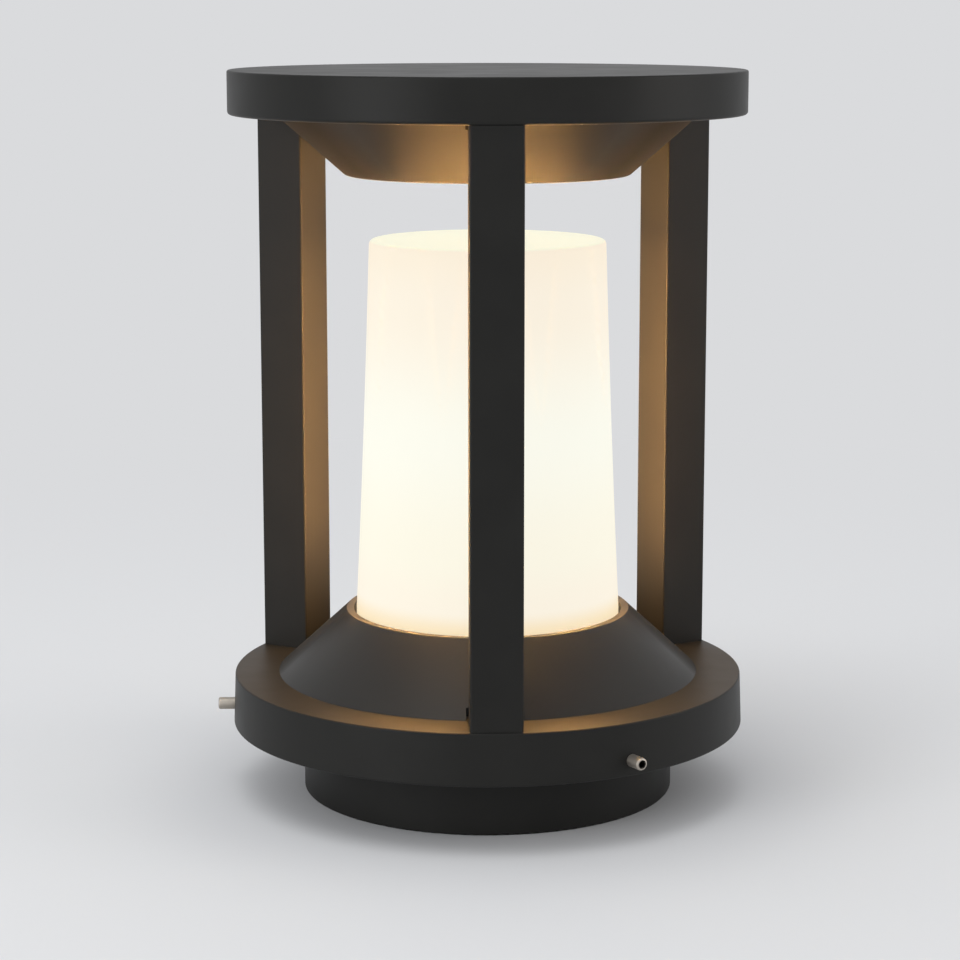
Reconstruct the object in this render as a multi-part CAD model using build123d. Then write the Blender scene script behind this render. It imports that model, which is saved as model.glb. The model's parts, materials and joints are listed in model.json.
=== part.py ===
from build123d import *
import os
from math import asin, cos, degrees, hypot, radians, sin, sqrt, tan

# Post top light: a lantern head that lifts off a mounting base.
# Millimetres, +Z up, the origin in the middle of the base's underside, the front towards -Y.

# Diffuser: the other radii grow outwards from it
diffuser_top_radius = 48.4
diffuser_taper = 6.25        # radius gained from the top down to the lip of the lower cone
diffuser_waist = 0.4         # how far the side bows in from a straight taper
diffuser_height = 179.4      # above the base ring
diffuser_wall = 3.0
diffuser_edge = 2.0
diffuser_foot_width = 8.0
diffuser_foot_thickness = 4.0
diffuser_gasket_thickness = 1.5

# Clamp ring that holds the diffuser's foot down
clamp_gap = 1.0              # to the diffuser's neck
clamp_foot_gap = 0.35        # to the rim of the diffuser's foot
clamp_foot_width = 6.6
clamp_thickness = 2.5
clamp_angles = (0.0, 120.0, 240.0)

# Lower and upper cones
lip_gap = 1.15               # open ring between the diffuser and the lip
lip_width = 3.0
lip_depth = 3.0
lower_cone_run = 28.4
lower_cone_height = 26.1
upper_cone_run = 28.0
upper_cone_height = 24.6
upper_cone_setback = 1.4     # upper cone's base radius, less than the lower cone's
upper_cone_edge = 3.0
upper_cone_gap = 26.3        # open height between the diffuser and the upper cone
cone_wall = 2.5
cone_boss_radius = 3.2
cone_boss_gap = 0.7          # to the diffuser's clamp ring
notch_clearance = 1.0        # round each post

# Base ring
ledge_width = 18.2           # from the lower cone out to the ring's edge
ring_height = 21.1
ring_draft = 0.8
ring_top_edge = 0.6
ring_bottom_edge = 0.8
plate_thickness = 4.6
plate_opening_step = 1.65    # the opening is this much smaller than the diffuser's bore
skirt_wall = 5.0
pad_thickness = 3.4          # set screw pads inside the skirt
pad_width = 16.0
pad_lift = 1.5

# Posts
post_width = 20.5
post_depth = 21.3            # towards the axis
post_inset = 0.2             # from the cap's edge to the post's outer corners
post_wall = 2.4
post_edge = 0.8
post_port_radius = 3.3       # screw ports inside the extrusion
post_angles = {"front_post": -90.0, "right_post": 30.0, "left_post": 150.0}
between_post_angles = (-30.0, 90.0, 210.0)

# Cap
cap_setback = 0.4            # cap radius, less than the ring's top radius
cap_height = 17.6
cap_rim = 3.5
cap_top_thickness = 4.0
cap_top_edge = 0.8
cap_bottom_edge = 1.3
cap_boss_radius = 4.5
cap_boss_inset = 7.0         # from the rim's inner wall to the boss's axis
carrier_thickness = 4.0
carrier_opening_margin = 2.5   # carrier opening, less than the radius of the upper cone's flat end
carrier_clearance = 0.4

# Mounting base
collar_setback = 28.4        # collar radius, less than the ring's top radius
collar_height = 28.5
collar_wall = 4.0
collar_edge = 1.0
floor_thickness = 5.0
flange_clearance = 0.5       # flange to the set screw pads
flange_lift = 1.0            # flange underside above the skirt's bottom edge
flange_rim = 8.0
flange_web = 4.0
groove_depth = 4.0
base_gasket_thickness = 1.5
base_gasket_width = 8.0
base_gasket_inset = 8.0
fixing_edge_distance = 18.0  # fixing holes, in from the collar's inner wall
fixing_hole_radius = 3.25

# Cable inlet
cable_radius = 4.0
grommet_neck_radius = 10.0
grommet_flange_radius = 13.0
grommet_flange_thickness = 2.2
grommet_nose_height = 1.8
grommet_nose_radius = 8.0
inlet_recess_depth = 2.5
grommet_clearance = 0.3

# Set screws
set_screw_radius = 2.5
set_screw_length = 16.0
set_screw_rise = 6.2         # axis above the ring's bottom edge
set_screw_rest_gap = 0.3     # point to flange, backed out
set_screw_point_radius = 0.5
set_screw_chamfer = 0.4
hex_socket_radius = 1.44
hex_socket_depth = 3.0
set_screw_angles = {"front_set_screw": -60.0, "rear_set_screw": 60.0, "left_set_screw": 180.0}

# Lampholder and its bracket
bracket_thickness = 2.0
bracket_width = 26.0
bracket_end = 7.0            # beyond the pillar axes
bracket_corner = 5.0
bracket_drop = 5.5           # bracket underside, below the top of the base
bracket_lead_clearance = 0.9
pillar_inset = 13.0          # pillar axes, in from the collar's inner wall
pillar_top_radius = 5.5
pillar_foot_radius = 7.0
holder_radius = 21.0
holder_foot_radius = 19.0
holder_height = 44.0
holder_foot_height = 6.0
holder_shoulder_height = 3.0
holder_floor = 16.0
holder_screw_offset = 15.0
shell_wall = 0.8
shell_height = 24.0
shell_hole_radius = 9.0
shell_clearance = 0.3
contact_width = 6.0
contact_thickness = 0.6
contact_foot = 5.5
contact_ramp = 3.0
contact_head = 4.5
contact_rise = 3.0
contact_gap = 0.3

# Lamp, the standard pear shape with a 27 mm screw cap
lamp_globe_radius = 30.0
lamp_length = 110.0
lamp_cap_radius = 13.1
lamp_cap_height = 27.0
lamp_cap_clearance = 0.4     # lamp cap to the holder's shell
lamp_cap_wall = 0.6
lamp_plug_clearance = 0.3    # insulator and housing to the inside of the cap
lamp_contact_radius = 4.8
lamp_contact_tip_radius = 3.6
lamp_contact_height = 1.2
lamp_insulator_height = 4.8
lamp_insulator_plug = 2.0
lamp_housing_plug = 7.0
lamp_shoulder = 0.9
lamp_housing_height = 42.0
lamp_housing_waist = 2.5
lamp_housing_step = 0.8
lamp_globe_wall = 1.5
light_board_thickness = 1.6
light_board_margin = 1.0

# Terminal block
terminal_distance = 42.0     # from the axis to the block's middle, on the front side
terminal_pad_height = 3.0
terminal_poles = (-1, 0, 1)
terminal_pole_pitch = 11.0
terminal_pole_width = 9.6
terminal_pole_depth = 14.0
terminal_pole_height = 12.0
terminal_base_depth = 20.0
terminal_base_height = 5.0
terminal_ear_clearance = 1.2   # fixing screw heads to the outer poles
terminal_ear_inset = 4.0     # fixing screws, in from the block's ends
terminal_screw_radius = 1.6
terminal_screw_offset = 3.5
terminal_screw_recess = 0.8
terminal_wire_height = 4.0   # wire hole above the block's base
terminal_wire_depth = 4.0

# Earth lug
earth_circle = 42.0
earth_angle = 25.0
earth_boss_radius = 5.5
earth_boss_height = 4.0
lug_radius = 4.6
lug_thickness = 0.8
lug_tongue_width = 3.6
lug_barrel_radius = 1.9
lug_barrel_length = 8.0
lug_reach = 14.0
lug_angle = 217.0

# Leads: the places of their bends are chosen by eye
lead_radius = 1.1
lead_clearance = 0.3
lead_bend_share = 0.45       # of the shorter run, taken up by each bend
holder_lead_offset = 8.0
holder_lead_depth = 6.0
lead_level_end = -18.0       # where the live and neutral leads start to climb
lead_climb_foot = 23.0       # height at which they turn upright
earth_level_end = -20.0
earth_last_run = 14.0

# Screws
m3_shank = 1.5
m3_head = 3.0
m4_shank = 2.0
m4_head = 4.0
pan_head_height = 2.4
screw_hole_clearance = 0.15
thread_clearance = 0.05
seat_clearance = 0.05
hole_end_room = 1.0          # blind holes go this much deeper than their screws
post_screw_length = 16.0
cap_screw_length = 12.0
cone_screw_length = 9.0
clamp_screw_length = 12.0
bracket_screw_length = 12.0
holder_screw_length = 9.0
terminal_fixing_length = 9.0
earth_screw_length = 7.0

# Radii and lengths worked out from the sizes above
diffuser_radius = diffuser_top_radius + diffuser_taper
diffuser_bore = diffuser_radius - diffuser_wall
foot_radius = diffuser_radius + diffuser_foot_width
clamp_inner_radius = diffuser_radius + clamp_gap
clamp_foot_radius = foot_radius + clamp_foot_gap
clamp_radius = clamp_foot_radius + clamp_foot_width
clamp_screw_circle = clamp_foot_radius + clamp_foot_width / 2
lip_inner_radius = diffuser_radius + lip_gap
lip_radius = lip_inner_radius + lip_width
lower_cone_radius = lip_radius + lower_cone_run
upper_cone_radius = lower_cone_radius - upper_cone_setback
upper_cone_end_radius = upper_cone_radius - upper_cone_run
lower_boss_circle = clamp_radius + cone_boss_gap + cone_boss_radius
upper_boss_circle = lower_boss_circle - upper_cone_setback
ring_radius = lower_cone_radius + ledge_width
ring_bottom_radius = ring_radius + ring_draft
skirt_radius = ring_radius - skirt_wall
pad_radius = skirt_radius - pad_thickness
plate_opening_radius = diffuser_bore - plate_opening_step
cap_radius = ring_radius - cap_setback
cap_inner_radius = cap_radius - cap_rim
cap_boss_circle = cap_inner_radius - cap_boss_inset
post_face_radius = sqrt(cap_radius ** 2 - (post_width / 2) ** 2) - post_inset
post_circle = post_face_radius - post_depth / 2
post_port_offset = post_width / 2 - post_wall - post_port_radius / 2
collar_radius = ring_radius - collar_setback
cup_radius = collar_radius - collar_wall
flange_radius = pad_radius - flange_clearance
fixing_circle = cup_radius - fixing_edge_distance
pillar_circle = cup_radius - pillar_inset
set_screw_point = flange_radius + set_screw_rest_gap
shell_inner_radius = lamp_cap_radius + lamp_cap_clearance
shell_radius = shell_inner_radius + shell_wall
lamp_plug_radius = lamp_cap_radius - lamp_cap_wall - lamp_plug_clearance
bracket_lead_hole = holder_lead_offset + lead_radius + bracket_lead_clearance
terminal_pole_end = max(terminal_poles) * terminal_pole_pitch + terminal_pole_width / 2
terminal_ear = terminal_pole_end + m3_head + terminal_ear_clearance
terminal_base_length = 2 * (terminal_ear + terminal_ear_inset)

# Heights worked out from the sizes above
ring_bottom = collar_height
ring_top = ring_bottom + ring_height
plate_bottom = ring_top - plate_thickness
flange_top = plate_bottom - base_gasket_thickness
flange_bottom = ring_bottom + flange_lift
set_screw_level = ring_bottom + set_screw_rise
lip_top = ring_top + lower_cone_height
foot_bottom = ring_top + diffuser_gasket_thickness
foot_top = foot_bottom + diffuser_foot_thickness
clamp_top = foot_top + clamp_thickness
diffuser_top = ring_top + diffuser_height
cap_bottom = diffuser_top + upper_cone_gap + upper_cone_height
post_length = cap_bottom - ring_top
cap_top = cap_bottom + cap_height
cap_ceiling = cap_top - cap_top_thickness
carrier_top = cap_bottom + carrier_thickness
bracket_bottom = flange_top - bracket_drop
holder_bottom = bracket_bottom + bracket_thickness
holder_seat = holder_bottom + holder_floor
lamp_bottom = holder_seat + contact_rise + contact_thickness + contact_gap
lamp_cap_bottom = lamp_bottom + lamp_contact_height + lamp_insulator_height
lamp_cap_top = lamp_bottom + lamp_cap_height
lamp_housing_top = lamp_cap_top + lamp_housing_height
lamp_globe_level = lamp_bottom + lamp_length - lamp_globe_radius
terminal_bottom = floor_thickness + terminal_pad_height
terminal_base_top = terminal_bottom + terminal_base_height
terminal_top = terminal_base_top + terminal_pole_height
terminal_wire_level = terminal_base_top + terminal_wire_height
terminal_screw_tip = terminal_wire_level + lead_radius + lead_clearance
earth_boss_top = floor_thickness + earth_boss_height
lug_axis_level = earth_boss_top + lug_barrel_radius

UP = (Align.CENTER, Align.CENTER, Align.MIN)
DOWN = (Align.CENTER, Align.CENTER, Align.MAX)
FLIP = Rot(180, 0, 0)
OUTWARDS = Rot(0, 90, 0)     # turns +Z to point along +X


def turned(*curves):
    """Solid turned about Z from a closed outline of radius and height."""
    return revolve(Plane.XZ * make_face(list(curves)), Axis.Z)


def turned_outline(*points):
    """Solid turned about Z from a straight-sided outline of radius and height."""
    return turned(Polyline(*points, close=True))


def polar(radius, angle, height=0.0):
    """Place at a radius and an angle about Z, with its own X pointing outwards."""
    return Rot(0, 0, angle) * Pos(radius, 0, height)


def upright(radius, low, high):
    """Upright cylinder between two heights, for a hole or a boss."""
    return Pos(0, 0, low) * Cylinder(radius, high - low, align=UP)


def tube(radius, bore, low, high):
    """Upright tube or flat ring between two heights."""
    return upright(radius, low, high) - upright(bore, low, high)


def round_edge(part, radius, height, amount):
    """Round the circular edge at a given radius and height."""
    near = 0.01
    edges = [
        edge
        for edge in part.edges().filter_by(GeomType.CIRCLE)
        if abs(edge.radius - radius) < near and abs(edge.arc_center.Z - height) < near
    ]
    return fillet(edges, amount)


def group(shape, places):
    """Separate copies of one solid, as one node."""
    return Compound([place * shape.solid() for place in places])


def countersunk_screw(shank, head, length):
    """Flat-headed screw that hangs from Z = 0, the top of its head."""
    return turned_outline((0, 0), (head, 0), (shank, shank - head), (shank, -length), (0, -length))


def countersunk_hole(shank, head, depth):
    """Clearance hole for a flat-headed screw whose head is flush at Z = 0."""
    bore = shank + screw_hole_clearance
    mouth = head + seat_clearance
    return turned_outline((0, 0), (mouth, 0), (bore, bore - mouth), (bore, -depth), (0, -depth))


def pan_screw(shank, head, length):
    """Pan-headed screw whose head sits on Z = 0."""
    cap = Cylinder(head, pan_head_height, align=UP)
    cap = round_edge(cap, head, pan_head_height, pan_head_height / 2)
    return cap + Cylinder(shank, length, align=DOWN)


# Places that several pieces share
post_places = [polar(post_circle, angle) for angle in post_angles.values()]
port_places = [place * Pos(0, side * post_port_offset, 0) for place in post_places for side in (-1, 1)]
lower_boss_places = [polar(lower_boss_circle, angle) for angle in between_post_angles]
upper_boss_places = [polar(upper_boss_circle, angle) for angle in between_post_angles]
cap_boss_places = [polar(cap_boss_circle, angle) for angle in between_post_angles]
clamp_places = [polar(clamp_screw_circle, angle) for angle in clamp_angles]
pillar_places = [polar(pillar_circle, angle) for angle in (0, 180)]
holder_screw_places = [Pos(side * holder_screw_offset, 0, 0) for side in (-1, 1)]
holder_lead_places = [Pos(side * holder_lead_offset, 0, 0) for side in (-1, 1)]
terminal_place = Pos(0, -terminal_distance, 0)
terminal_ear_places = [terminal_place * Pos(side * terminal_ear, 0, 0) for side in (-1, 1)]
terminal_screw_places = [
    terminal_place * Pos(pole * terminal_pole_pitch, side * terminal_screw_offset, 0)
    for pole in terminal_poles
    for side in (-1, 1)
]
earth_place = polar(earth_circle, earth_angle)


def make_diffuser():
    """Opal sleeve with a closed top, a slightly waisted taper and a flanged foot."""
    middle = ((diffuser_top_radius + diffuser_radius) / 2 - diffuser_waist, (diffuser_top + lip_top) / 2)
    inner_top_radius = diffuser_top_radius - diffuser_wall
    ceiling = diffuser_top - diffuser_wall
    sleeve = turned(
        Polyline((0, ceiling), (0, diffuser_top), (diffuser_top_radius, diffuser_top)),
        ThreePointArc((diffuser_top_radius, diffuser_top), middle, (diffuser_radius, lip_top)),
        Polyline(
            (diffuser_radius, lip_top),
            (diffuser_radius, foot_top),
            (foot_radius, foot_top),
            (foot_radius, foot_bottom),
            (diffuser_bore, foot_bottom),
            (diffuser_bore, lip_top),
        ),
        ThreePointArc(
            (diffuser_bore, lip_top),
            (middle[0] - diffuser_wall, middle[1]),
            (inner_top_radius, ceiling),
        ),
        Line((inner_top_radius, ceiling), (0, ceiling)),
    )
    return round_edge(sleeve, diffuser_top_radius, diffuser_top, diffuser_edge)


def make_diffuser_gasket():
    """Flat seal under the diffuser's foot."""
    return tube(foot_radius, diffuser_bore, ring_top, foot_bottom)


def make_diffuser_clamp():
    """Ring of angle section that reaches over the diffuser's foot and stands on the base ring."""
    clamp = turned_outline(
        (clamp_inner_radius, clamp_top),
        (clamp_radius, clamp_top),
        (clamp_radius, ring_top),
        (clamp_foot_radius, ring_top),
        (clamp_foot_radius, foot_top),
        (clamp_inner_radius, foot_top),
    )
    hole = countersunk_hole(m3_shank, m3_head, clamp_top - ring_top)
    for place in clamp_places:
        clamp -= place * Pos(0, 0, clamp_top) * hole
    return clamp


def fit_cone(shell, base_radius, run, height, boss_places, hole_depth):
    """Give a cone, base on Z = 0, its inner screw bosses and cut it clear of the posts."""
    level_wall = cone_wall * hypot(1, run / height)
    core_radius = base_radius - level_wall / 2
    core = Cone(core_radius, core_radius - run, height, align=UP)
    boss = Cylinder(cone_boss_radius, height, align=UP)
    for place in boss_places:
        shell += place * boss & core
        shell -= place * Cylinder(m3_shank + thread_clearance, hole_depth, align=UP)
    notch = Box(post_depth + 2 * notch_clearance, post_width + 2 * notch_clearance, 2 * height)
    for place in post_places:
        shell -= place * notch
    return shell


def make_lower_cone():
    """Cone on the base ring with a flat lip round the diffuser."""
    slope = lower_cone_run / lower_cone_height
    level_wall = cone_wall * hypot(1, slope)
    lip_bottom = lower_cone_height - lip_depth
    shell = turned_outline(
        (lower_cone_radius, 0),
        (lip_radius, lower_cone_height),
        (lip_inner_radius, lower_cone_height),
        (lip_inner_radius, lip_bottom),
        (lower_cone_radius - slope * lip_bottom - level_wall, lip_bottom),
        (lower_cone_radius - level_wall, 0),
    )
    hole_depth = cone_screw_length - plate_thickness + hole_end_room
    cone = fit_cone(
        shell, lower_cone_radius, lower_cone_run, lower_cone_height, lower_boss_places, hole_depth
    )
    return Pos(0, 0, ring_top) * cone


def make_upper_cone():
    """Cone under the cap with a closed flat end."""
    slope = upper_cone_run / upper_cone_height
    level_wall = cone_wall * hypot(1, slope)
    end_inside = upper_cone_height - cone_wall
    shell = turned_outline(
        (upper_cone_radius, 0),
        (upper_cone_end_radius, upper_cone_height),
        (0, upper_cone_height),
        (0, end_inside),
        (upper_cone_radius - slope * end_inside - level_wall, end_inside),
        (upper_cone_radius - level_wall, 0),
    )
    shell = round_edge(shell, upper_cone_end_radius, upper_cone_height, upper_cone_edge)
    hole_depth = cone_screw_length - carrier_thickness + hole_end_room
    cone = fit_cone(
        shell, upper_cone_radius, upper_cone_run, upper_cone_height, upper_boss_places, hole_depth
    )
    return Pos(0, 0, cap_bottom) * mirror(cone, about=Plane.XY)


def make_post(angle):
    """Box extrusion with two screw ports on its inner walls."""
    bore = Rectangle(post_depth - 2 * post_wall, post_width - 2 * post_wall)
    section = RectangleRounded(post_depth, post_width, post_edge) - bore
    ports = [Pos(0, side * post_port_offset) for side in (-1, 1)]
    for port in ports:
        section += port * Circle(post_port_radius)
    for port in ports:
        section -= port * Circle(m4_shank + thread_clearance)
    return polar(post_circle, angle, ring_top) * extrude(section, post_length)


def make_base_ring():
    """Ring with a flat plate on top, a drafted skirt and three pads for the set screws."""
    ring = turned_outline(
        (plate_opening_radius, plate_bottom),
        (skirt_radius, plate_bottom),
        (skirt_radius, ring_bottom),
        (ring_bottom_radius, ring_bottom),
        (ring_radius, ring_top),
        (plate_opening_radius, ring_top),
    )
    ring = round_edge(ring, ring_radius, ring_top, ring_top_edge)
    ring = round_edge(ring, ring_bottom_radius, ring_bottom, ring_bottom_edge)
    pad_bottom = ring_bottom + pad_lift
    pad_depth = pad_thickness + skirt_wall / 2
    pad_height = ring_top - plate_thickness / 2 - pad_bottom
    pad = Box(pad_depth, pad_width, pad_height, align=(Align.MIN, Align.CENTER, Align.MIN))
    thread = OUTWARDS * Cylinder(set_screw_radius + thread_clearance, ring_radius, align=UP)
    for angle in set_screw_angles.values():
        ring += polar(pad_radius, angle, pad_bottom) * pad
        ring -= polar(plate_opening_radius, angle, set_screw_level) * thread
    post_hole = Pos(0, 0, plate_bottom) * FLIP * countersunk_hole(m4_shank, m4_head, plate_thickness)
    for place in port_places:
        ring -= place * post_hole
    cone_hole = Pos(0, 0, plate_bottom) * FLIP * countersunk_hole(m3_shank, m3_head, plate_thickness)
    for place in lower_boss_places:
        ring -= place * cone_hole
    for place in clamp_places:
        ring -= place * upright(m3_shank + thread_clearance, plate_bottom, ring_top)
    return ring


def make_top_cap():
    """Shallow dish, open below, with three screw bosses that stand on the carrier."""
    cap = turned_outline(
        (0, cap_top),
        (cap_radius, cap_top),
        (cap_radius, cap_bottom),
        (cap_inner_radius, cap_bottom),
        (cap_inner_radius, cap_ceiling),
        (0, cap_ceiling),
    )
    cap = round_edge(cap, cap_radius, cap_top, cap_top_edge)
    cap = round_edge(cap, cap_radius, cap_bottom, cap_bottom_edge)
    hole_top = cap_bottom + cap_screw_length + hole_end_room
    for place in cap_boss_places:
        cap += place * upright(cap_boss_radius, carrier_top, cap_top - cap_top_thickness / 2)
        cap -= place * upright(m4_shank + thread_clearance, carrier_top, hole_top)
    return cap


def make_cap_carrier():
    """Flat ring inside the cap that ties the three posts together."""
    radius = cap_inner_radius - carrier_clearance
    opening = upper_cone_end_radius - carrier_opening_margin
    carrier = tube(radius, opening, cap_bottom, carrier_top)
    post_hole = Pos(0, 0, carrier_top) * countersunk_hole(m4_shank, m4_head, carrier_thickness)
    cone_hole = Pos(0, 0, carrier_top) * countersunk_hole(m3_shank, m3_head, carrier_thickness)
    cap_hole = Pos(0, 0, cap_bottom) * FLIP * countersunk_hole(m4_shank, m4_head, carrier_thickness)
    for place in port_places:
        carrier -= place * post_hole
    for place in upper_boss_places:
        carrier -= place * cone_hole
    for place in cap_boss_places:
        carrier -= place * cap_hole
    return carrier


def make_mounting_base():
    """Cast cup: a collar that stands on the post and a grooved flange that enters the base ring."""
    web_bottom = flange_top - flange_web
    rim_inner_radius = flange_radius - flange_rim
    base = turned_outline(
        (0, 0),
        (collar_radius, 0),
        (collar_radius, web_bottom),
        (rim_inner_radius, web_bottom),
        (rim_inner_radius, flange_bottom),
        (flange_radius, flange_bottom),
        (flange_radius, flange_top),
        (cup_radius, flange_top),
        (cup_radius, floor_thickness),
        (0, floor_thickness),
    )
    base = round_edge(base, collar_radius, 0, collar_edge)
    base -= turned_outline(
        (flange_radius - groove_depth, set_screw_level),
        (flange_radius + groove_depth, set_screw_level + 2 * groove_depth),
        (flange_radius + groove_depth, set_screw_level - 2 * groove_depth),
    )
    pillar_height = bracket_bottom - floor_thickness / 2
    pillar = Cone(pillar_foot_radius, pillar_top_radius, pillar_height, align=UP)
    pillar_hole = bracket_screw_length - bracket_thickness + hole_end_room
    for place in pillar_places:
        base += place * Pos(0, 0, floor_thickness / 2) * pillar
        base -= place * upright(m4_shank + thread_clearance, bracket_bottom - pillar_hole, bracket_bottom)
    base += terminal_place * Box(terminal_base_length, terminal_base_depth, terminal_bottom, align=UP)
    fixing_depth = terminal_fixing_length - terminal_base_height + hole_end_room
    for place in terminal_ear_places:
        base -= place * upright(m3_shank + thread_clearance, terminal_bottom - fixing_depth, terminal_bottom)
    base += earth_place * upright(earth_boss_radius, floor_thickness / 2, earth_boss_top)
    earth_hole = earth_screw_length - lug_thickness + hole_end_room
    base -= earth_place * upright(m4_shank + thread_clearance, earth_boss_top - earth_hole, earth_boss_top)
    base -= upright(grommet_flange_radius + grommet_clearance, 0, inlet_recess_depth)
    base -= upright(grommet_neck_radius + grommet_clearance, 0, floor_thickness)
    for angle in between_post_angles:
        base -= polar(fixing_circle, angle) * upright(fixing_hole_radius, 0, floor_thickness)
    return base


def make_base_gasket():
    """Flat seal between the flange and the base ring."""
    outer_radius = flange_radius - base_gasket_inset
    return tube(outer_radius, outer_radius - base_gasket_width, flange_top, plate_bottom)


def make_cable_grommet():
    """Rubber inlet that grips the edge of the hole in the base's floor."""
    collar_top = floor_thickness + grommet_flange_thickness
    nose_top = collar_top + grommet_nose_height
    return turned_outline(
        (cable_radius, inlet_recess_depth - grommet_flange_thickness),
        (grommet_flange_radius, inlet_recess_depth - grommet_flange_thickness),
        (grommet_flange_radius, inlet_recess_depth),
        (grommet_neck_radius, inlet_recess_depth),
        (grommet_neck_radius, floor_thickness),
        (grommet_flange_radius, floor_thickness),
        (grommet_flange_radius, collar_top),
        (grommet_nose_radius, nose_top),
        (cable_radius, nose_top),
    )


def make_lampholder_bracket():
    """Flat bridge across the two pillars."""
    length = 2 * (pillar_circle + bracket_end)
    outline = RectangleRounded(length, bracket_width, bracket_corner) - Circle(bracket_lead_hole)
    for place in pillar_places:
        outline -= place * Circle(m4_shank + screw_hole_clearance)
    for place in holder_screw_places:
        outline -= place * Circle(m3_shank + screw_hole_clearance)
    return Pos(0, 0, bracket_bottom) * extrude(outline, bracket_thickness)


def make_lampholder_body():
    """Ceramic pot of the lampholder, with lead and screw holes in its foot."""
    bore = shell_radius + shell_clearance
    foot_end = holder_bottom + holder_foot_height
    holder_top = holder_bottom + holder_height
    body = turned_outline(
        (0, holder_bottom),
        (holder_foot_radius, holder_bottom),
        (holder_foot_radius, foot_end),
        (holder_radius, foot_end + holder_shoulder_height),
        (holder_radius, holder_top),
        (bore, holder_top),
        (bore, holder_seat),
        (0, holder_seat),
    )
    screw_end = bracket_bottom + holder_screw_length + hole_end_room
    for place in holder_screw_places:
        body -= place * upright(m3_shank + thread_clearance, holder_bottom, screw_end)
    lead_end = holder_bottom + holder_lead_depth
    for place in holder_lead_places:
        body -= place * upright(lead_radius + lead_clearance, holder_bottom, lead_end)
    return body


def make_lampholder_shell():
    """Metal screw shell of the lampholder."""
    shell_top = holder_seat + shell_height
    return turned_outline(
        (shell_hole_radius, holder_seat),
        (shell_radius, holder_seat),
        (shell_radius, shell_top),
        (shell_inner_radius, shell_top),
        (shell_inner_radius, holder_seat + shell_wall),
        (shell_hole_radius, holder_seat + shell_wall),
    )


def make_lampholder_contact():
    """Bent spring leaf under the lamp's centre contact."""
    ramp_start = -contact_ramp / 2
    ramp_end = contact_ramp / 2
    lower = [
        (ramp_start - contact_foot, 0),
        (ramp_start, 0),
        (ramp_end, contact_rise),
        (ramp_end + contact_head, contact_rise),
    ]
    upper = [(along, height + contact_thickness) for along, height in reversed(lower)]
    leaf = extrude(Plane.XZ * make_face(Polyline(*lower, *upper, close=True)), contact_width / 2, both=True)
    return Pos(0, 0, holder_seat) * leaf


def make_lamp_contact():
    """Centre contact of the lamp."""
    top = lamp_bottom + lamp_contact_height
    return turned_outline(
        (0, lamp_bottom), (lamp_contact_tip_radius, lamp_bottom), (lamp_contact_radius, top), (0, top)
    )


def make_lamp_insulator():
    """Insulator between the lamp's centre contact and its screw cap."""
    bottom = lamp_bottom + lamp_contact_height
    plug_top = lamp_cap_bottom + lamp_insulator_plug
    return turned_outline(
        (0, bottom),
        (lamp_contact_radius, bottom),
        (lamp_plug_radius, lamp_cap_bottom),
        (lamp_plug_radius, plug_top),
        (0, plug_top),
    )


def make_lamp_cap():
    """Screw cap of the lamp."""
    return tube(lamp_cap_radius, lamp_cap_radius - lamp_cap_wall, lamp_cap_bottom, lamp_cap_top)


def globe_section_radius(radius):
    """Radius of the globe's sphere where it meets the housing."""
    return sqrt(radius ** 2 - (lamp_globe_level - lamp_housing_top) ** 2)


def make_lamp_housing():
    """Flared neck of the lamp, plugged into its screw cap."""
    plug_bottom = lamp_cap_top - lamp_housing_plug
    neck_radius = lamp_cap_radius + lamp_shoulder
    rim_radius = globe_section_radius(lamp_globe_radius) + lamp_housing_step
    middle = ((neck_radius + rim_radius) / 2 - lamp_housing_waist, (lamp_cap_top + lamp_housing_top) / 2)
    return turned(
        Polyline(
            (0, lamp_housing_top),
            (0, plug_bottom),
            (lamp_plug_radius, plug_bottom),
            (lamp_plug_radius, lamp_cap_top),
            (neck_radius, lamp_cap_top),
        ),
        ThreePointArc((neck_radius, lamp_cap_top), middle, (rim_radius, lamp_housing_top)),
        Line((rim_radius, lamp_housing_top), (0, lamp_housing_top)),
    )


def make_lamp_light_board():
    """Disc that carries the light sources, on top of the housing."""
    inner_radius = globe_section_radius(lamp_globe_radius - lamp_globe_wall)
    radius = inner_radius - light_board_margin
    return upright(radius, lamp_housing_top, lamp_housing_top + light_board_thickness)


def make_lamp_globe():
    """Hollow dome of the lamp."""
    inner = lamp_globe_radius - lamp_globe_wall
    center = (0, lamp_globe_level)
    drop = lamp_globe_level - lamp_housing_top
    low = degrees(asin(drop / lamp_globe_radius))
    inner_low = degrees(asin(drop / inner))
    return turned(
        CenterArc(center, lamp_globe_radius, -low, 90 + low),
        Line((0, lamp_globe_level + lamp_globe_radius), (0, lamp_globe_level + inner)),
        CenterArc(center, inner, -inner_low, 90 + inner_low),
        Line(
            (globe_section_radius(inner), lamp_housing_top),
            (globe_section_radius(lamp_globe_radius), lamp_housing_top),
        ),
    )


def make_terminal_block():
    """Three-pole terminal block with wire holes on both sides."""
    block = Pos(0, 0, terminal_bottom) * Box(
        terminal_base_length, terminal_base_depth, terminal_base_height, align=UP
    )
    pole = Box(terminal_pole_width, terminal_pole_depth, terminal_pole_height, align=UP)
    wire = Rot(90, 0, 0) * Cylinder(lead_radius + lead_clearance, 2 * terminal_wire_depth)
    for number in terminal_poles:
        along = number * terminal_pole_pitch
        block += Pos(along, 0, terminal_base_top) * pole
        for side in (-1, 1):
            block -= Pos(along, side * terminal_pole_depth / 2, terminal_wire_level) * wire
    for side in (-1, 1):
        ear_hole = upright(m3_shank + screw_hole_clearance, terminal_bottom, terminal_base_top)
        block -= Pos(side * terminal_ear, 0, 0) * ear_hole
    block = terminal_place * block
    for place in terminal_screw_places:
        block -= place * upright(terminal_screw_radius + thread_clearance, terminal_screw_tip, terminal_top)
    return block


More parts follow.
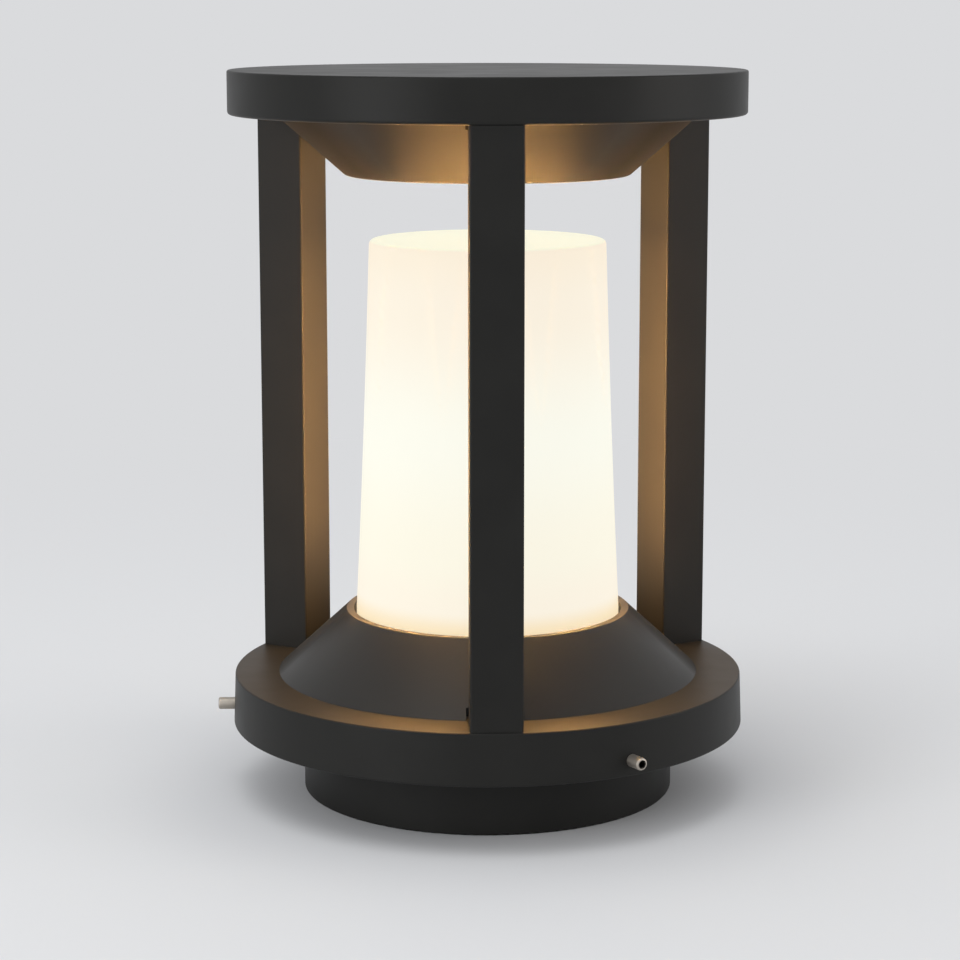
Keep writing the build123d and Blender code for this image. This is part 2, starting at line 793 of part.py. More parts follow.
def make_terminal_screws():
    """Clamp screws of the terminal block."""
    top = terminal_top - terminal_screw_recess
    return group(upright(terminal_screw_radius, terminal_screw_tip, top), terminal_screw_places)


def make_earth_lug():
    """Ring terminal with a crimp barrel, on the earth boss."""
    barrel_start = lug_reach - lug_barrel_length
    tongue_length = barrel_start + lug_barrel_length / 2
    tongue = Box(tongue_length, lug_tongue_width, lug_thickness, align=(Align.MIN, Align.CENTER, Align.MIN))
    barrel = OUTWARDS * Cylinder(lug_barrel_radius, lug_barrel_length, align=UP)
    lug = Cylinder(lug_radius, lug_thickness, align=UP) + tongue
    lug += Pos(barrel_start, 0, lug_barrel_radius) * barrel
    lug -= Cylinder(m4_shank + screw_hole_clearance, lug_thickness, align=UP)
    turn = Rot(0, 0, lug_angle - earth_angle)
    return earth_place * Pos(0, 0, earth_boss_top) * turn * lug


def make_lead(name, points):
    """Round lead along straight runs joined by arcs as large as the runs allow."""
    points = [Vector(*point) for point in points]
    bend_radii = []
    for before, corner, after in zip(points, points[1:], points[2:]):
        turn = radians((corner - before).get_angle(after - corner))
        shorter = min((corner - before).length, (after - corner).length)
        bend_radii.append(lead_bend_share * shorter / tan(turn / 2))
    print(name, "bend radii", [round(radius, 1) for radius in bend_radii])
    path = FilletPolyline(*points, radius=bend_radii)
    section = Plane(path @ 0, z_dir=path % 0) * Circle(lead_radius)
    return sweep(section, path)


def make_leads():
    """Live and neutral leads up to the lampholder, and the earth lead across to its lug."""
    start = -terminal_distance + terminal_pole_depth / 2 - terminal_wire_depth
    top = holder_bottom + holder_lead_depth
    leads = {}
    for name, side in (("live_lead", -1), ("neutral_lead", 1)):
        pole = side * terminal_pole_pitch
        rise = side * holder_lead_offset
        leads[name] = make_lead(
            name,
            [
                (pole, start, terminal_wire_level),
                (pole, lead_level_end, terminal_wire_level),
                (rise, 0, lead_climb_foot),
                (rise, 0, top),
            ],
        )
    lug_x = earth_circle * cos(radians(earth_angle))
    lug_y = earth_circle * sin(radians(earth_angle))
    along_x = cos(radians(lug_angle))
    along_y = sin(radians(lug_angle))
    bend = lug_reach + earth_last_run
    leads["earth_lead"] = make_lead(
        "earth_lead",
        [
            (0, start, terminal_wire_level),
            (0, earth_level_end, terminal_wire_level),
            (lug_x + bend * along_x, lug_y + bend * along_y, lug_axis_level),
            (lug_x + lug_reach * along_x, lug_y + lug_reach * along_y, lug_axis_level),
        ],
    )
    return leads


def make_set_screw(angle):
    """Cone-pointed set screw with a hexagon socket in its outer end, backed out of the groove."""
    point_length = set_screw_radius - set_screw_point_radius
    screw = turned_outline(
        (0, 0),
        (set_screw_point_radius, 0),
        (set_screw_radius, point_length),
        (set_screw_radius, set_screw_length - set_screw_chamfer),
        (set_screw_radius - set_screw_chamfer, set_screw_length),
        (0, set_screw_length),
    )
    socket = extrude(RegularPolygon(hex_socket_radius, 6), -hex_socket_depth)
    screw -= Pos(0, 0, set_screw_length) * socket
    return polar(set_screw_point, angle, set_screw_level) * OUTWARDS * screw


def make_screw_groups():
    """Fasteners, each kind as one node."""
    post_screw = countersunk_screw(m4_shank, m4_head, post_screw_length)
    cap_screw = countersunk_screw(m4_shank, m4_head, cap_screw_length)
    cone_screw = countersunk_screw(m3_shank, m3_head, cone_screw_length)
    clamp_screw = countersunk_screw(m3_shank, m3_head, clamp_screw_length)
    bracket_screw = pan_screw(m4_shank, m4_head, bracket_screw_length)
    holder_screw = pan_screw(m3_shank, m3_head, holder_screw_length)
    fixing_screw = pan_screw(m3_shank, m3_head, terminal_fixing_length)
    earth_screw = pan_screw(m4_shank, m4_head, earth_screw_length)
    return {
        "post_foot_screws": group(Pos(0, 0, plate_bottom) * FLIP * post_screw, port_places),
        "post_head_screws": group(Pos(0, 0, carrier_top) * post_screw, port_places),
        "cap_screws": group(Pos(0, 0, cap_bottom) * FLIP * cap_screw, cap_boss_places),
        "lower_cone_screws": group(Pos(0, 0, plate_bottom) * FLIP * cone_screw, lower_boss_places),
        "upper_cone_screws": group(Pos(0, 0, carrier_top) * cone_screw, upper_boss_places),
        "clamp_screws": group(Pos(0, 0, clamp_top) * clamp_screw, clamp_places),
        "bracket_screws": group(Pos(0, 0, holder_bottom) * bracket_screw, pillar_places),
        "lampholder_screws": group(Pos(0, 0, bracket_bottom) * FLIP * holder_screw, holder_screw_places),
        "terminal_screws": make_terminal_screws(),
        "terminal_fixing_screws": group(Pos(0, 0, terminal_base_top) * fixing_screw, terminal_ear_places),
        "earth_screw": earth_place * Pos(0, 0, earth_boss_top + lug_thickness) * earth_screw,
    }


nodes = {
    "mounting_base": make_mounting_base(),
    "base_gasket": make_base_gasket(),
    "cable_grommet": make_cable_grommet(),
    "lampholder_bracket": make_lampholder_bracket(),
    "lampholder_body": make_lampholder_body(),
    "lampholder_shell": make_lampholder_shell(),
    "lampholder_contact": make_lampholder_contact(),
    "terminal_block": make_terminal_block(),
    "earth_lug": make_earth_lug(),
    "lamp_contact": make_lamp_contact(),
    "lamp_insulator": make_lamp_insulator(),
    "lamp_cap": make_lamp_cap(),
    "lamp_housing": make_lamp_housing(),
    "lamp_light_board": make_lamp_light_board(),
    "lamp_globe": make_lamp_globe(),
    "base_ring": make_base_ring(),
    "lower_cone": make_lower_cone(),
    "diffuser": make_diffuser(),
    "diffuser_gasket": make_diffuser_gasket(),
    "diffuser_clamp": make_diffuser_clamp(),
    "cap_carrier": make_cap_carrier(),
    "upper_cone": make_upper_cone(),
    "top_cap": make_top_cap(),
}
nodes.update({name: make_post(angle) for name, angle in post_angles.items()})
nodes.update({name: make_set_screw(angle) for name, angle in set_screw_angles.items()})
nodes.update(make_leads())
nodes.update(make_screw_groups())

os.makedirs("parts", exist_ok=True)
for name, solid in nodes.items():
    export_step(solid, f"parts/{name}.step")
print(len(nodes), "nodes")
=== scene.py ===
# %% [markdown]
# # Post top light
# A lantern head for a garden post: a disc cap on three box posts, two cones, a glowing opal sleeve
# and a wide ring that drops over a plain base. The solids come from the CAD model, and they stay
# where they are. This lesson gives every surface its finish, cuts the threads and sockets that the
# solids leave out, and builds a plain studio round the lantern.

# %% Load the solids
import json
import math

import bmesh
import bpy
from mathutils import Matrix, Vector


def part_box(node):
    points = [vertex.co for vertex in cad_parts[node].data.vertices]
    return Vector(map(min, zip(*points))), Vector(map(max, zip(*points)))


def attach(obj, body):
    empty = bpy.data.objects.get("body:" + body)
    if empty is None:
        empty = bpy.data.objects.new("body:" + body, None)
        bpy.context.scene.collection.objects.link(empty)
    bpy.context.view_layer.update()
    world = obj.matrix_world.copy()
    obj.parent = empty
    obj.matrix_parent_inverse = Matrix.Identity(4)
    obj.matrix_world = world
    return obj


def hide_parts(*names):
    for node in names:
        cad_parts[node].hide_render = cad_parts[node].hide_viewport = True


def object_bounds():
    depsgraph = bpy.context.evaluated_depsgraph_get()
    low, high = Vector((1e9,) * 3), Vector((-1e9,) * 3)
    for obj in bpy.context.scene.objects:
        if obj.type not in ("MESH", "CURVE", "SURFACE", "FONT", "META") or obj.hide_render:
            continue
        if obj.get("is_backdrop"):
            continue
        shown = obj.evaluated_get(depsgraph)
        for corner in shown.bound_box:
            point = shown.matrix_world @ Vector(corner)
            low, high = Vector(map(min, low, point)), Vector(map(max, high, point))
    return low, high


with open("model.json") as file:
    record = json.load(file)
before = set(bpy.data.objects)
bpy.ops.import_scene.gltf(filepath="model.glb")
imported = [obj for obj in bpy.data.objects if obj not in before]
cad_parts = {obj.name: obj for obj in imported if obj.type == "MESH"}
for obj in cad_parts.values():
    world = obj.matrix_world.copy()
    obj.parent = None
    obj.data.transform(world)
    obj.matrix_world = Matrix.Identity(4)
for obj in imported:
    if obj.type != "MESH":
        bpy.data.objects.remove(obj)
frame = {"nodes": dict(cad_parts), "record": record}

MILLIMETRE = 0.001
scene = bpy.context.scene
solids = frame["nodes"]
slot_of = {part["node"]: part["material_slot"] for part in frame["record"]["subparts"]}
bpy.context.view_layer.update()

# %% [markdown]
# ## Camera
# The photograph looks at the lantern from a little above its cap, with a long lens from about a
# metre away. A camera can be placed by eye, but here its place was worked out from the rims, whose
# ellipses show how far down the lens looks. The lantern stands a few pixels right of the middle,
# which is a small lens shift and not a turn of the camera.

# %% Camera
PHOTO_WIDTH = 960
FOCAL_LENGTH_IN_PIXELS = 2694
LANTERN_AXIS_PIXEL = 487.6
CAMERA_DISTANCE = 1.0995
CAMERA_HEIGHT = 0.3271
CAMERA_PITCH = math.radians(10.21)
CAMERA_AZIMUTH = math.radians(-1.96)
SENSOR_WIDTH = 36
NEAREST_VIEW = 0.01

lens = bpy.data.cameras.new("photo_camera")
lens.sensor_width = SENSOR_WIDTH
lens.lens = FOCAL_LENGTH_IN_PIXELS / PHOTO_WIDTH * SENSOR_WIDTH
lens.shift_x = 0.5 - LANTERN_AXIS_PIXEL / PHOTO_WIDTH
lens.clip_start = NEAREST_VIEW
camera = bpy.data.objects.new("photo_camera", lens)
camera.location = (
    CAMERA_DISTANCE * math.sin(CAMERA_AZIMUTH),
    -CAMERA_DISTANCE * math.cos(CAMERA_AZIMUTH),
    CAMERA_HEIGHT,
)
camera.rotation_euler = (math.pi / 2 - CAMERA_PITCH, 0, CAMERA_AZIMUTH)
scene.collection.objects.link(camera)
scene.camera = camera
scene.view_settings.view_transform = "Standard"
print("lens in millimetres:", round(lens.lens, 1), "shift:", round(lens.shift_x, 4))

# %% [markdown]
# ## Node helpers
# A shader is a tree of nodes. It can be wired by hand in the editor, and in a script that takes many
# small calls. These helpers add a node with its settings, and set or wire its inputs by name, so
# that each finish below reads as a short recipe.

# %% Node helpers
def set_input(tree, socket, value):
    """Wire a socket, or set its plain value."""
    if isinstance(value, bpy.types.NodeSocket):
        tree.links.new(value, socket)
    else:
        socket.default_value = value


def add_node(tree, kind, settings=None, **inputs):
    """New node with its settings, and with inputs given as values or as sockets to wire in."""
    node = tree.nodes.new(kind)
    for name, value in (settings or {}).items():
        setattr(node, name, value)
    for name, value in inputs.items():
        set_input(tree, node.inputs[name.replace("_", " ")], value)
    return node


def object_place(tree):
    """Place on the piece, in metres, which stays put when the piece moves."""
    return tree.nodes.new("ShaderNodeTexCoord").outputs["Object"]


print("node helpers ready")

# %% [markdown]
# ## Value helpers
# Most of a finish is noise that is moved from one range to another and then used to mix two tones.
# Each of those steps is one node, and here it gets one short function that hands back its output.

# %% Value helpers
def maths(tree, operation, first, second):
    """One arithmetic step."""
    node = add_node(tree, "ShaderNodeMath", {"operation": operation})
    set_input(tree, node.inputs[0], first)
    set_input(tree, node.inputs[1], second)
    return node.outputs[0]


def noise(tree, place, scale, detail=2.0, roughness=0.5):
    """Noise between about 0 and 1, in cycles per metre."""
    node = add_node(
        tree, "ShaderNodeTexNoise", Vector=place, Scale=scale, Detail=detail, Roughness=roughness
    )
    return node.outputs["Fac"]


def remap(tree, value, low, high, new_low, new_high):
    """Value moved from one range to another, held at its ends."""
    node = add_node(tree, "ShaderNodeMapRange", Value=value)
    for socket, end in zip(list(node.inputs)[1:5], (low, high, new_low, new_high)):
        socket.default_value = end
    return node.outputs["Result"]


def mix_colours(tree, share, first, second):
    """Colour between two others."""
    node = add_node(tree, "ShaderNodeMix", {"data_type": "RGBA"})
    colour_inputs = [socket for socket in node.inputs if socket.type == "RGBA"]
    set_input(tree, node.inputs["Factor"], share)
    set_input(tree, colour_inputs[0], first)
    set_input(tree, colour_inputs[1], second)
    return next(socket for socket in node.outputs if socket.type == "RGBA")


def facing_up(tree, low, high):
    """Mask that rises from 0 to 1 as the surface turns to face up."""
    facing = tree.nodes.new("ShaderNodeNewGeometry").outputs["Normal"]
    upwards = add_node(tree, "ShaderNodeSeparateXYZ", Vector=facing).outputs["Z"]
    return remap(tree, upwards, low, high, 0.0, 1.0)


print("value helpers ready")

# %% [markdown]
# ## Group helper
# A node group works like a function: it is built once and placed in each material with its own
# values. Every group here puts out the same three things, a colour, a roughness and a height for
# the bump, so any finish can take any group.

# %% Group helper
SURFACE_OUTPUTS = [
    ("Color", "NodeSocketColor"),
    ("Roughness", "NodeSocketFloat"),
    ("Height", "NodeSocketFloat"),
]


def start_group(name, inputs):
    """Empty group with named sockets, and its input and output sockets."""
    group = bpy.data.node_groups.new(name, "ShaderNodeTree")
    for socket_name, kind in inputs:
        group.interface.new_socket(name=socket_name, in_out="INPUT", socket_type=kind)
    for socket_name, kind in SURFACE_OUTPUTS:
        group.interface.new_socket(name=socket_name, in_out="OUTPUT", socket_type=kind)
    entry = group.nodes.new("NodeGroupInput")
    way_out = group.nodes.new("NodeGroupOutput")
    return group, entry.outputs, way_out.inputs


print("every group puts out:", [name for name, kind in SURFACE_OUTPUTS])

# %% [markdown]
# ## Uneven skin
# Powder coat, rubber, moulded plastic and glaze all have a skin that is nearly even: faint clouds in
# the colour, patches of more and less gloss, and a fine grain. A painted picture would show its
# seams on a round piece, so the skin is noise in space, which has none. The clouds change colour and
# gloss together, and the grain is the bump. Noise seldom leaves the middle of its range, so that
# middle is what gets stretched.

# %% Uneven skin group
NOISE_LOW, NOISE_HIGH = 0.3, 0.7
SPECKLE = 0.12
skin_group, skin_in, skin_out = start_group(
    "uneven_skin",
    [
        ("Light tone", "NodeSocketColor"),
        ("Dark tone", "NodeSocketColor"),
        ("Gloss", "NodeSocketFloat"),
        ("Gloss change", "NodeSocketFloat"),
        ("Mottle scale", "NodeSocketFloat"),
        ("Grain scale", "NodeSocketFloat"),
    ],
)
place = object_place(skin_group)
mottle = noise(skin_group, place, skin_in["Mottle scale"], detail=3.0)
grain = noise(skin_group, place, skin_in["Grain scale"])
speckle = remap(skin_group, grain, NOISE_LOW, NOISE_HIGH, -SPECKLE, SPECKLE)
cloudy = remap(skin_group, mottle, NOISE_LOW, NOISE_HIGH, 0.0, 1.0)
clouds = maths(skin_group, "ADD", cloudy, speckle)
colour = mix_colours(skin_group, clouds, skin_in["Dark tone"], skin_in["Light tone"])
patches = remap(skin_group, mottle, NOISE_LOW, NOISE_HIGH, -1.0, 1.0)
swing = maths(skin_group, "MULTIPLY", skin_in["Gloss change"], patches)
set_input(skin_group, skin_out["Color"], colour)
set_input(skin_group, skin_out["Roughness"], maths(skin_group, "ADD", skin_in["Gloss"], swing))
set_input(skin_group, skin_out["Height"], grain)
print("group:", skin_group.name, "nodes:", len(skin_group.nodes))

# %% [markdown]
# ## Worked metal
# Bare metal shows how it was made: dull patches where it was handled, bright ones where it was
# rubbed, and fine marks from the tool. The patches are coarse noise and the marks are fine noise
# with many octaves. Both change the gloss, because on metal gloss shows more than colour does.

# %% Worked metal group
DULL_START, DULL_END = 0.38, 0.72
MARK_SWING = 0.5
metal_group, metal_in, metal_out = start_group(
    "worked_metal",
    [
        ("Bright tone", "NodeSocketColor"),
        ("Dull tone", "NodeSocketColor"),
        ("Gloss", "NodeSocketFloat"),
        ("Gloss change", "NodeSocketFloat"),
        ("Patch scale", "NodeSocketFloat"),
        ("Mark scale", "NodeSocketFloat"),
    ],
)
place = object_place(metal_group)
patches = noise(metal_group, place, metal_in["Patch scale"], detail=4.0)
marks = noise(metal_group, place, metal_in["Mark scale"], detail=5.0, roughness=0.7)
dullness = remap(metal_group, patches, DULL_START, DULL_END, 0.0, 1.0)
colour = mix_colours(metal_group, dullness, metal_in["Bright tone"], metal_in["Dull tone"])
streaks = remap(metal_group, marks, NOISE_LOW, NOISE_HIGH, -MARK_SWING, MARK_SWING)
rubbed = maths(metal_group, "ADD", dullness, streaks)
swing = maths(metal_group, "MULTIPLY", metal_in["Gloss change"], rubbed)
set_input(metal_group, metal_out["Color"], colour)
set_input(metal_group, metal_out["Roughness"], maths(metal_group, "ADD", metal_in["Gloss"], swing))
set_input(metal_group, metal_out["Height"], marks)
print("group:", metal_group.name, "nodes:", len(metal_group.nodes))

# %% [markdown]
# ## A finish from a group
# Every finish is one Principled shader. What varies over the surface comes from a group, and what
# is the same everywhere is set on the shader itself, where an exported model can read it.

# %% Finish maker
finishes = {}


def finish(name, group, values, bump_distance, bump_strength=0.4, **constants):
    """Material with one Principled shader that is fed by a group."""
    material = bpy.data.materials.new(name)
    material.use_nodes = True
    tree = material.node_tree
    tree.nodes.clear()
    surface = add_node(tree, "ShaderNodeGroup", {"node_tree": group})
    for socket_name, value in values.items():
        surface.inputs[socket_name].default_value = value
    bump = add_node(
        tree, "ShaderNodeBump",
        Strength=bump_strength, Distance=bump_distance, Height=surface.outputs["Height"],
    )
    shader = add_node(
        tree, "ShaderNodeBsdfPrincipled",
        Base_Color=surface.outputs["Color"],
        Roughness=surface.outputs["Roughness"],
        Normal=bump.outputs["Normal"],
        **constants,
    )
    add_node(tree, "ShaderNodeOutputMaterial", Surface=shader.outputs[0])
    return material


def shader_of(material):
    """Principled shader of a finish."""
    return next(node for node in material.node_tree.nodes if node.type == "BSDF_PRINCIPLED")


print("finish maker ready")

# %% [markdown]
# ## Powder coat
# The castings and posts are anthracite powder coat, baked to a fine even matt. It is nearly black,
# and what shows its shape is the soft gloss that grows towards the edges. So the colour is dark,
# the gloss is wide and low, and the grain is under half a millimetre. The cone round the sleeve is
# a smooth pressing, and its coat shines more than the coat on the castings.

# %% Powder coat
CASTING_SHINE = 0.16
PRESSING_SHINE = 0.33


def powder_coat(name, shine):
    """Anthracite coat with its level of shine."""
    return finish(
        name,
        skin_group,
        {
            "Light tone": (0.0142, 0.0141, 0.0130, 1),
            "Dark tone": (0.0118, 0.0117, 0.0108, 1),
            "Gloss": 0.45,
            "Gloss change": 0.03,
            "Mottle scale": 45.0,
            "Grain scale": 2600.0,
        },
        bump_distance=0.02 * MILLIMETRE,
        bump_strength=0.15,
        Specular_IOR_Level=shine,
    )


finishes["powder_coat"] = powder_coat("anthracite_powder_coat", CASTING_SHINE)
print("finish:", finishes["powder_coat"].name)

# %% [markdown]
# ## Dull at a glancing angle
# Seen at a glancing angle, a smooth shader turns into a mirror. The sides of the posts and the
# rounded edges of the cones would then show the bright sleeve as glaring lines, which the grain of a
# real coat breaks up. The grain is too fine to model, so Layer Weight finds where the angle is
# glancing, and the coats of these pieces are rougher there. It gives 0 for a surface that faces the
# eye and 1 for one that is seen edge on, and each coat starts where its own glare does.

# %% Dull at a glancing angle
POSTS = ("front_post", "right_post", "left_post")
GLANCE_DULLING = 0.5
# Shine, the Layer Weight where the dulling starts and where it is full, and the pieces
COATS_BY_THE_SLEEVE = {
    "anthracite_lower_cone": (PRESSING_SHINE, 0.75, 0.90, ("lower_cone",)),
    "anthracite_upper_cone": (CASTING_SHINE, 0.55, 0.70, ("upper_cone",)),
    "anthracite_posts": (CASTING_SHINE, 0.58, 0.74, POSTS),
}
own_coats = {}
for name, (shine, glance_start, glance_end, pieces) in COATS_BY_THE_SLEEVE.items():
    coat = powder_coat(name, shine)
    tree = coat.node_tree
    glance = add_node(tree, "ShaderNodeLayerWeight").outputs["Facing"]
    dulling = remap(tree, glance, glance_start, glance_end, 0.0, GLANCE_DULLING)
    coat_gloss = shader_of(coat).inputs["Roughness"]
    set_input(tree, coat_gloss, maths(tree, "ADD", coat_gloss.links[0].from_socket, dulling))
    own_coats.update(dict.fromkeys(pieces, coat))
print("pieces with a coat of their own:", list(own_coats))

# %% [markdown]
# ## Lit opal plastic
# An opal sleeve scatters the light of the lamp inside until its whole wall glows. Real light could
# be sent through the wall, but that is slow and grainy. Here the wall glows by itself: a ramp of
# tones over its height is the emission, and a closed top that faces up has a tone of its own. The
# plastic under the glow is dark and dull, because a pale one would show the shades of the posts,
# which the light of a real lamp drowns.

# %% Opal finish maker
OPAL_SHINE = 0.05
TOP_FACING = (0.5, 0.9)


def opal_finish(name, low, high, top_tone, side_tones):
    """Glowing satin plastic whose tone follows the height between two levels."""
    material = finish(
        name,
        skin_group,
        {
            "Light tone": (0.135, 0.130, 0.105, 1),
            "Dark tone": (0.125, 0.120, 0.095, 1),
            "Gloss": 0.60,
            "Gloss change": 0.03,
            "Mottle scale": 30.0,
            "Grain scale": 1200.0,
        },
        bump_distance=0.03 * MILLIMETRE,
        bump_strength=0.2,
        Emission_Strength=1.0,
        Specular_IOR_Level=OPAL_SHINE,
    )
    tree = material.node_tree
    height = add_node(tree, "ShaderNodeSeparateXYZ", Vector=object_place(tree)).outputs["Z"]
    ramp = add_node(tree, "ShaderNodeValToRGB", Fac=remap(tree, height, low, high, 0.0, 1.0))
    ramp.color_ramp.interpolation = "EASE"
    stops = ramp.color_ramp.elements
    while len(stops) < len(side_tones):
        stops.new(0.5)
    for stop, (level, tone) in zip(stops, side_tones):
        stop.position = level
        stop.color = (*tone, 1)
    on_top = facing_up(tree, *TOP_FACING)
    glow = mix_colours(tree, on_top, ramp.outputs["Color"], (*top_tone, 1))
    set_input(tree, shader_of(material).inputs["Emission Color"], glow)
    return material


print("opal finish maker ready")

# %% [markdown]
# ## Sleeve and globe
# The sleeve is brightest level with the lamp, creamy where it meets the lip of the lower cone and a
# little pinker under its top edge. The lamp's own globe, which shows when the head is lifted off,
# is the same plastic with a simpler ramp.

# %% Sleeve and globe
lip_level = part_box("lower_cone")[1].z
finishes["opal_acrylic"] = opal_finish(
    "lit_opal_acrylic",
    lip_level,
    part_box("diffuser")[1].z,
    top_tone=(0.86, 0.855, 0.69),
    side_tones=[
        (0.0, (0.845, 0.69, 0.455)),
        (0.06, (0.865, 0.80, 0.685)),
        (0.2, (0.855, 0.825, 0.705)),
        (0.5, (0.85, 0.85, 0.765)),
        (0.85, (0.85, 0.775, 0.66)),
        (1.0, (0.85, 0.755, 0.62)),
    ],
)
globe_low, globe_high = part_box("lamp_globe")
finishes["lamp_opal"] = opal_finish(
    "lit_opal_globe",
    globe_low.z,
    globe_high.z,
    top_tone=(0.92, 0.89, 0.73),
    side_tones=[(0.0, (0.85, 0.75, 0.56)), (1.0, (0.92, 0.89, 0.73))],
)
print("glow of the sleeve starts at", round(lip_level, 4))

# %% [markdown]
# ## Metals
# The set screws and the other outside screws are bare stainless steel. The sockets of the set screws,
# and the rings round their mouths, are painted near black as painted shade for the deep hole. Inside
# are bright zinc plate, brass, tinned copper and the nickel-plated cap of the lamp. All of them share
# the worked metal group, and differ in tone and in gloss.

# %% Metals
# Bright tone, dull tone and gloss
METAL_TONES = {
    "stainless_steel": ((0.46, 0.42, 0.37, 1), (0.36, 0.33, 0.29, 1), 0.50),
    # Painted shade: a near-black tone that stands for the shade inside the sockets.
    "broached_socket": ((0.030, 0.028, 0.025, 1), (0.016, 0.015, 0.014, 1), 0.45),
    "zinc_plated_steel": ((0.66, 0.68, 0.70, 1), (0.52, 0.54, 0.57, 1), 0.30),
    "brass": ((0.80, 0.58, 0.26, 1), (0.60, 0.40, 0.16, 1), 0.26),
    "tinned_copper": ((0.74, 0.72, 0.68, 1), (0.58, 0.55, 0.50, 1), 0.34),
    "nickel_plate": ((0.70, 0.68, 0.63, 1), (0.56, 0.54, 0.49, 1), 0.22),
}
for slot, (bright, dull, gloss) in METAL_TONES.items():
    finishes[slot] = finish(
        slot,
        metal_group,
        {
            "Bright tone": bright,
            "Dull tone": dull,
            "Gloss": gloss,
            "Gloss change": 0.08,
            "Patch scale": 160.0,
            "Mark scale": 2200.0,
        },
        bump_distance=0.02 * MILLIMETRE,
        bump_strength=0.25,
        Metallic=1.0,
    )
print("metals:", list(METAL_TONES))

# %% [markdown]
# ## Plastics and rubber
# What is left is inside, and shows when the head is lifted off: the white lamp housing and terminal
# block, the rubber seals and the coloured leads. Each is the uneven skin with its own tones, gloss
# and grain.

# %% Plastics and rubber
# Light tone, dark tone, gloss and grain scale
SKIN_TONES = {
    "lamp_plastic": ((0.80, 0.80, 0.78, 1), (0.74, 0.74, 0.72, 1), 0.38, 1500.0),
    "terminal_plastic": ((0.74, 0.73, 0.68, 1), (0.66, 0.65, 0.60, 1), 0.45, 1800.0),
    "board_white": ((0.82, 0.82, 0.80, 1), (0.76, 0.76, 0.74, 1), 0.30, 2500.0),
    "seal_rubber": ((0.026, 0.026, 0.027, 1), (0.018, 0.018, 0.019, 1), 0.70, 1600.0),
    "black_insulator": ((0.010, 0.010, 0.011, 1), (0.006, 0.006, 0.007, 1), 0.12, 900.0),
    "live_insulation": ((0.17, 0.070, 0.030, 1), (0.13, 0.052, 0.022, 1), 0.36, 1500.0),
    "neutral_insulation": ((0.030, 0.11, 0.42, 1), (0.022, 0.085, 0.34, 1), 0.36, 1500.0),
    "earth_insulation": ((0.10, 0.36, 0.060, 1), (0.075, 0.29, 0.045, 1), 0.36, 1500.0),
}
for slot, (light, dark, gloss, grain_scale) in SKIN_TONES.items():
    finishes[slot] = finish(
        slot,
        skin_group,
        {
            "Light tone": light,
            "Dark tone": dark,
            "Gloss": gloss,
            "Gloss change": 0.05,
            "Mottle scale": 90.0,
            "Grain scale": grain_scale,
        },
        bump_distance=0.03 * MILLIMETRE,
    )
print("plastics:", list(SKIN_TONES))

# %% [markdown]
# ## Earth lead
# An earth lead is green with a yellow stripe along it. A stripe that follows a bent lead would need
# its own map, but this lead lies nearly flat, so the side of it that faces up can be the yellow one.

# %% Earth stripe
EARTH_YELLOW = (0.72, 0.50, 0.030, 1)
STRIPE_FACING = (0.3, 0.4)
earth = finishes["earth_insulation"]
green = shader_of(earth).inputs["Base Color"].links[0].from_socket
stripe = facing_up(earth.node_tree, *STRIPE_FACING)
striped = mix_colours(earth.node_tree, stripe, green, EARTH_YELLOW)
set_input(earth.node_tree, shader_of(earth).inputs["Base Color"], striped)
print("striped:", earth.name)

# %% [markdown]
# ## Porcelain
# The lampholder is glazed porcelain: a cloudy white body under a clear glassy layer. The body is the
# uneven skin, and the glaze is the shader's own coat, which needs no second shader.

# %% Porcelain
finishes["porcelain"] = finish(
    "glazed_porcelain",
    skin_group,
    {
        "Light tone": (0.84, 0.82, 0.78, 1),
        "Dark tone": (0.79, 0.77, 0.72, 1),
        "Gloss": 0.30,
        "Gloss change": 0.06,
        "Mottle scale": 120.0,
        "Grain scale": 700.0,
    },
    bump_distance=0.05 * MILLIMETRE,
    Coat_Weight=0.6,
    Coat_Roughness=0.08,
)
print("finishes:", len(finishes))

# %% [markdown]
# ## Dress the solids
# Each solid could be given its material by hand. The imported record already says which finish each
# one takes, so one loop dresses them all, and only the cones and the posts take coats of their own.

# %% Dress the solids
for name, solid in solids.items():
    solid.data.materials.clear()
    solid.data.materials.append(own_coats.get(name, finishes[slot_of[name]]))
print("dressed:", len(solids))

# %% [markdown]
# ## Lathe tools
# Screws and lamp caps are turned on a lathe, and Spin does the same here: it carries a line of edges
# round an axis and leaves a surface behind. With a small rise at every step the same tool winds a
# thread. A bevel rounds the ends. Sizes are in millimetres, as on a drawing.

# %% Lathe tools
WELD = 0.002
NEAR = 0.01
SPARE_TURNS = 2
ROUND_SEGMENTS = 5


def draw_line(shape, outline):
    """Open line of edges through pairs of radius and height."""
    points = [shape.verts.new((radius, 0, height)) for radius, height in outline]
    return points + [shape.edges.new(pair) for pair in zip(points, points[1:])]


def turn(shape, outline, steps=32):
    """Surface turned once round Z from an open line."""
    bmesh.ops.spin(
        shape, geom=draw_line(shape, outline), axis=(0, 0, 1), cent=(0, 0, 0),
        angle=2 * math.pi, steps=steps, use_merge=True,
    )
    bmesh.ops.remove_doubles(shape, verts=shape.verts, dist=WELD)


def wind_thread(shape, outline, pitch, low, high, steps):
    """Thread wound up Z from a line a pitch below the low end, and cut off level at both ends."""
    turns = math.ceil((high - low) / pitch) + SPARE_TURNS
    bmesh.ops.spin(
        shape, geom=draw_line(shape, outline), axis=(0, 0, 1), cent=(0, 0, 0),
        dvec=(0, 0, pitch / steps), angle=2 * math.pi * turns, steps=steps * turns,
    )
    bmesh.ops.remove_doubles(shape, verts=shape.verts, dist=WELD)
    for level, above in ((low, False), (high, True)):
        bmesh.ops.bisect_plane(
            shape, geom=shape.verts[:] + shape.edges[:] + shape.faces[:],
            plane_co=(0, 0, level), plane_no=(0, 0, 1), clear_outer=above, clear_inner=not above,
        )


